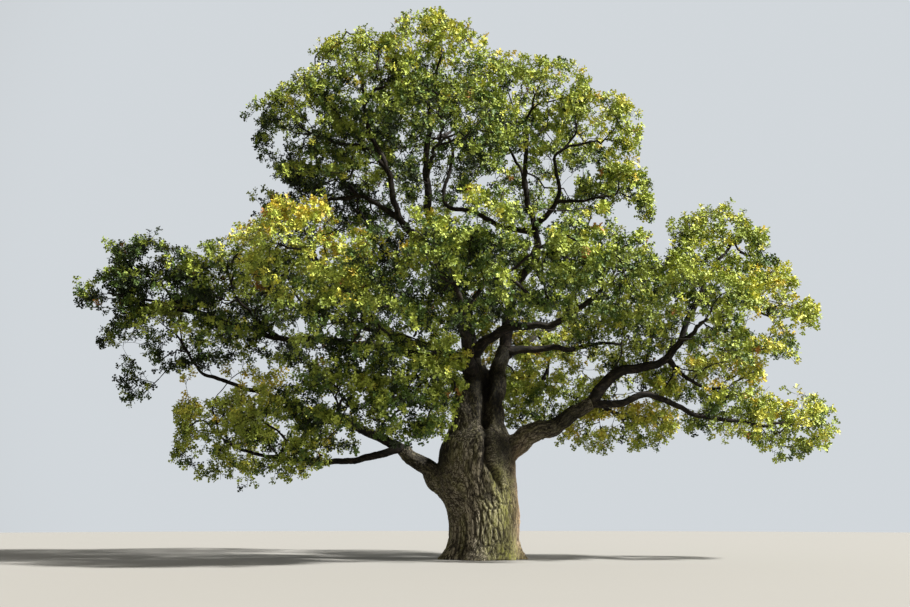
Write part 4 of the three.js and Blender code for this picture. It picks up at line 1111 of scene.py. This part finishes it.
def leavesOn(twigs, index, rng):
    # points and faces of every leaf of a mass
    endLeaves, sideLeaves = spray["endLeaves"], spray["sideLeaves"]
    shape = (len(twigs), endLeaves + sideLeaves)
    heading = unit(twigs[:, 1] - twigs[:, 0])
    side = unit(np.cross(heading, np.array([0.25, 0.15, 1.0])))
    third = np.cross(heading, side)
    order = np.arange(shape[1])
    isEnd = order < endLeaves
    sideFrom, sideOver = spray["sideZone"]
    share = np.where(isEnd, 1.0, sideFrom + sideOver * (order - endLeaves + 0.5) / sideLeaves)
    share = np.clip(share + rng.uniform(-spray["shareLoose"], spray["shareLoose"], shape) * ~isEnd, 0, 1)
    angle = np.where(isEnd, order * 2 * math.pi / endLeaves, order * goldenAngle)
    angle = angle + rng.uniform(0, 2 * math.pi, (shape[0], 1))
    angle += rng.uniform(-spray["turnLoose"], spray["turnLoose"], shape)
    tilt = np.where(isEnd, rng.uniform(*spray["endTilt"], shape), rng.uniform(*spray["sideTilt"], shape))
    roots = twigs[:, :1] + (twigs[:, 1:] - twigs[:, :1]) * share[..., None]
    headings = (np.cos(tilt)[..., None] * heading[:, None]
        + np.sin(tilt)[..., None] * (np.cos(angle)[..., None] * side[:, None]
            + np.sin(angle)[..., None] * third[:, None]))
    headings[..., 2] -= spray["droop"]
    headings = unit(headings)
    outward = unit((roots - massCentres[index]) / massReaches[index])
    faces = (np.array([0, 0, 1.0]) * spray["faceUp"] + outward * spray["faceOut"]
        + rng.normal(0, spray["faceLoose"], roots.shape))
    faces = unit(faces - headings * (faces * headings).sum(axis=-1, keepdims=True))
    lengths = spray["leafLength"] * rng.uniform(*spray["leafSpread"], shape)
    across = np.cross(faces, headings) * spray["leafWidth"]
    # leaves x outline points x 3
    points = roots[..., None, :] + lengths[..., None, None] * (leafOutline[:, :1] * headings[..., None, :]
        + leafOutline[:, 1:2] * across[..., None, :] + leafOutline[:, 2:] * faces[..., None, :])
    firsts = np.arange(lengths.size) * len(leafOutline)
    return points.reshape(-1, 3), (firsts[:, None, None] + leafFaces).reshape(-1, 3)


def manyTubes(lines, radii, sides):
    # lines: tubes x points x 3, radii: tubes x points; closed at the tip
    tubes, steps = lines.shape[:2]
    heading = unit(np.gradient(lines, axis=1))
    hint = np.where(np.abs(heading[:, :1, 2:3]) < 0.9, np.array([0.0, 0.0, 1.0]), np.array([1.0, 0.0, 0.0]))
    across = unit(np.cross(heading, np.broadcast_to(hint, heading.shape)))
    points = ringPoints(lines, radii, across, np.cross(heading, across), sides)
    tips = (np.arange(tubes) * steps + steps - 1)[:, None] * sides + np.arange(sides)
    return points, ringQuads(tubes, steps, sides), tips


# Young oak twigs: smooth thin bark, dull grey-brown, too fine for a pattern to show
twigBark = plainMaterial("youngOakBark", "#1f1914", 0.8)
# Living oak leaves, a thin waxy skin: a broad soft shine over a plain body colour, in the states of early
# autumn, with painted light over them: sunlit and backlit sprays take the lighter tints, shaded ones the
# darker.
# Name, colour, and the value of painted light and autumn colour up to which a spray takes it
leafTints = {
    "deepGreenLeaf": ("#202c12", 0.2),
    "greenLeaf": ("#4a5f25", 0.4),
    "freshGreenLeaf": ("#7f8c36", 0.62),
    "yellowGreenLeaf": ("#a3ae48", 0.9),
    "yellowLeaf": ("#c2c04f", 1.18),
    "goldenLeaf": ("#cdb746", 9.0),
    "russetLeaf": ("#94682f", None),  # dealt out on its own, in small clusters
}
tintMaterials = [plainMaterial(name, hexText, 0.55) for name, (hexText, limit) in leafTints.items()]
tintLimits = np.array([limit for hexText, limit in leafTints.values() if limit is not None])
tintShape = {
    "spread": 0.19,  # chance from spray to spray
    "patches": 0.24,  # slow patches some 2 m across
    "patchScale": 0.45,
    "clumpGain": 0.16,  # painted light: each clump is dealt lighter tints on top
    "heightGain": 0.23,  # painted light: the top of a mass is dealt lighter tints than its underside
    "sunGain": 0.1,  # and its right side, where the sun stands
    "innerLoss": 0.6,  # shaded sprays deep inside a mass stay dark green
    "innerDepth": 0.8,
    "sproutLoss": 0.18,  # so do those close to the limbs
    "clearingLoss": 0.3,  # and those that stand in the crown's inner shade behind a clearing
    "russetShare": 0.003,
    "clusterScale": 0.9,
    "clusterFrom": 0.25,  # the noise above which a spray stands in a cluster
    "clusterGains": (6, 0.5),  # how much more russet inside a cluster, and outside
}


def tintOf(twigs, isSprout, index, paintedLightAndAutumn, rng):
    ends = twigs[:, 1]
    place = (ends - massCentres[index]) / massReaches[index]
    patches = np.array([noise.noise(Vector(end) * tintShape["patchScale"]) for end in ends])
    clusters = np.array([noise.noise(Vector(end) * tintShape["clusterScale"] + Vector((31, 7, 3)))
        for end in ends])
    # painted light and shade: sunlit tops, clumps and the sun side take lighter tints, the shaded inside
    # darker ones
    paintedLightAndAutumn = (paintedLightAndAutumn + tintShape["patches"] * patches
        + tintShape["heightGain"] * place[:, 2] + tintShape["sunGain"] * place[:, 0]
        + tintShape["clumpGain"] * np.clip([clumpAt(end)[1] * 2 for end in ends], -1, 1)
        - tintShape["innerLoss"] * np.clip(tintShape["innerDepth"] - np.linalg.norm(place, axis=1), 0, 1)
        - tintShape["sproutLoss"] * isSprout
        - tintShape["clearingLoss"] * inSkyGap(ends, 1, clearings)
        + rng.normal(0, tintShape["spread"], len(ends)))
    chosen = np.searchsorted(tintLimits, paintedLightAndAutumn)
    gains = np.where(clusters > tintShape["clusterFrom"], *tintShape["clusterGains"])
    isRusset = rng.random(len(ends)) < tintShape["russetShare"] * gains
    return np.where(isRusset, len(tintLimits), chosen)


sprouts = growSprouts()
areas = {}
for index, (name, (*_, areaName, paintedLightAndAutumn)) in enumerate(masses.items()):
    rng = np.random.default_rng(900 + index)
    branches, twigs, isSprout = growMass(index, rng)
    leaves = leavesOn(twigs, index, rng)
    tints = np.repeat(tintOf(twigs, isSprout, index, paintedLightAndAutumn, rng), len(leaves[1]) // len(twigs))
    area = areas.setdefault(areaName, {"nodes": [], "branches": [], "twigs": [], "leaves": [], "tints": []})
    area["nodes"].append(name)
    area["branches"] += branches
    area["twigs"].append(twigs)
    area["leaves"].append(leaves)
    area["tints"].append(tints)
print("oak: grown,", sum(len(t) for a in areas.values() for t in a["twigs"]), "twigs")

leafTotal = twigTotal = 0
for areaName, area in areas.items():
    leaves = meshObject("leaves_" + areaName, *joinParts(area["leaves"]), tintMaterials,
        np.concatenate(area["tints"]), smooth=False)
    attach(leaves, "root")
    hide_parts(*area["nodes"])
    leafTotal += len(leaves.data.polygons)
    print("oak: leaves_" + areaName, len(leaves.data.polygons), "triangles")

    tubes = []
    for count, sides in zip(growth["points"][::-1], (5, 3)):
        drawn = [branch for branch in area["branches"] if len(branch[0]) == count]
        lines, radii = (np.array([branch[part] for branch in drawn]) for part in (0, 1))
        tubes.append(manyTubes(lines, radii, sides))
    twigs = np.vstack(area["twigs"])
    tubes.append(manyTubes(twigs, np.broadcast_to(np.array(growth["twigRadii"]), twigs.shape[:2]), 3))
    points, corners, sizes = joinParts(tubes)
    twigPiece = meshObject("twigs_" + areaName, points, corners, sizes, [twigBark])
    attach(twigPiece, "root")
    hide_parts(*area["nodes"])
    twigTotal += int(sum(sizes - 2))
print("oak: leaves", leafTotal, "triangles, twigs", twigTotal)


# floor and studio light

studio = {
    "floorRadius": 90.0,
    "floorColour": "#85827b",
    "skyColour": "#f2ecdd",  # as warm as the light that dry grass and fields throw back
    "skyStrength": 0.33,  # overhead, in front and at the sides
    "backColour": "#eaf0f5",
    "backStrength": 0.78,  # the bright sky low behind the tree
    "backFrom": (0.15, 0.97, 0.2),
    "sunStrength": 10.8,
    "sunAngle": 4.0,  # degrees across, for soft shadow edges
    "sunFrom": (0.95, -0.22, 0.95),
    "lowStrength": 1.4,  # a second, low light from the right reaches the trunk under the right arm
    "lowAngle": 5.0,
    "lowFrom": (1.0, -0.1, 0.15),
}
edge = np.arange(64) * 2 * np.pi / 64
floorPoints = np.stack([np.cos(edge), np.sin(edge), np.zeros(64)], axis=1) * studio["floorRadius"]
# Matt painted floor: pale and even, with no shine of its own
floor = meshObject("floor", floorPoints, np.arange(64), np.array([64]),
    [plainMaterial("paleStudioFloor", studio["floorColour"], 0.9, 1.5, 0.5)], smooth=False)

for name in ("sun", "low"):
    lightData = bpy.data.lights.new(name, "SUN")
    lightData.energy = studio[name + "Strength"]
    lightData.angle = math.radians(studio[name + "Angle"])
    lightPiece = addPiece(name, lightData)
    lightPiece.rotation_euler = Vector(studio[name + "From"]).to_track_quat("Z", "Y").to_euler()

world = bpy.data.worlds.new("studio")
bpy.context.scene.world = world
world.use_nodes = True
sky = world.node_tree
sky.nodes.clear()
skyPlace = addNode(sky, "ShaderNodeTexCoord")
skyAngle = addNode(sky, "ShaderNodeVectorMath", {"operation": "DOT_PRODUCT", 1: studio["backFrom"]},
    {0: skyPlace.outputs["Generated"]})
backShare = addNode(sky, "ShaderNodeMapRange",
    {"interpolation_type": "SMOOTHSTEP", "From Min": 0.55, "From Max": 0.88},
    {"Value": skyAngle.outputs["Value"]})
around, behind = (addNode(sky, "ShaderNodeBackground",
    {"Color": linearColour(studio[part + "Colour"]), "Strength": studio[part + "Strength"]})
    for part in ("sky", "back"))
mixed = addNode(sky, "ShaderNodeMixShader", None,
    {0: backShare.outputs["Result"], 1: around.outputs["Background"], 2: behind.outputs["Background"]})
addNode(sky, "ShaderNodeOutputWorld", None, {"Surface": mixed.outputs["Shader"]})
bpy.context.scene.view_settings.view_transform = "Standard"
print("oak: floor and light set")
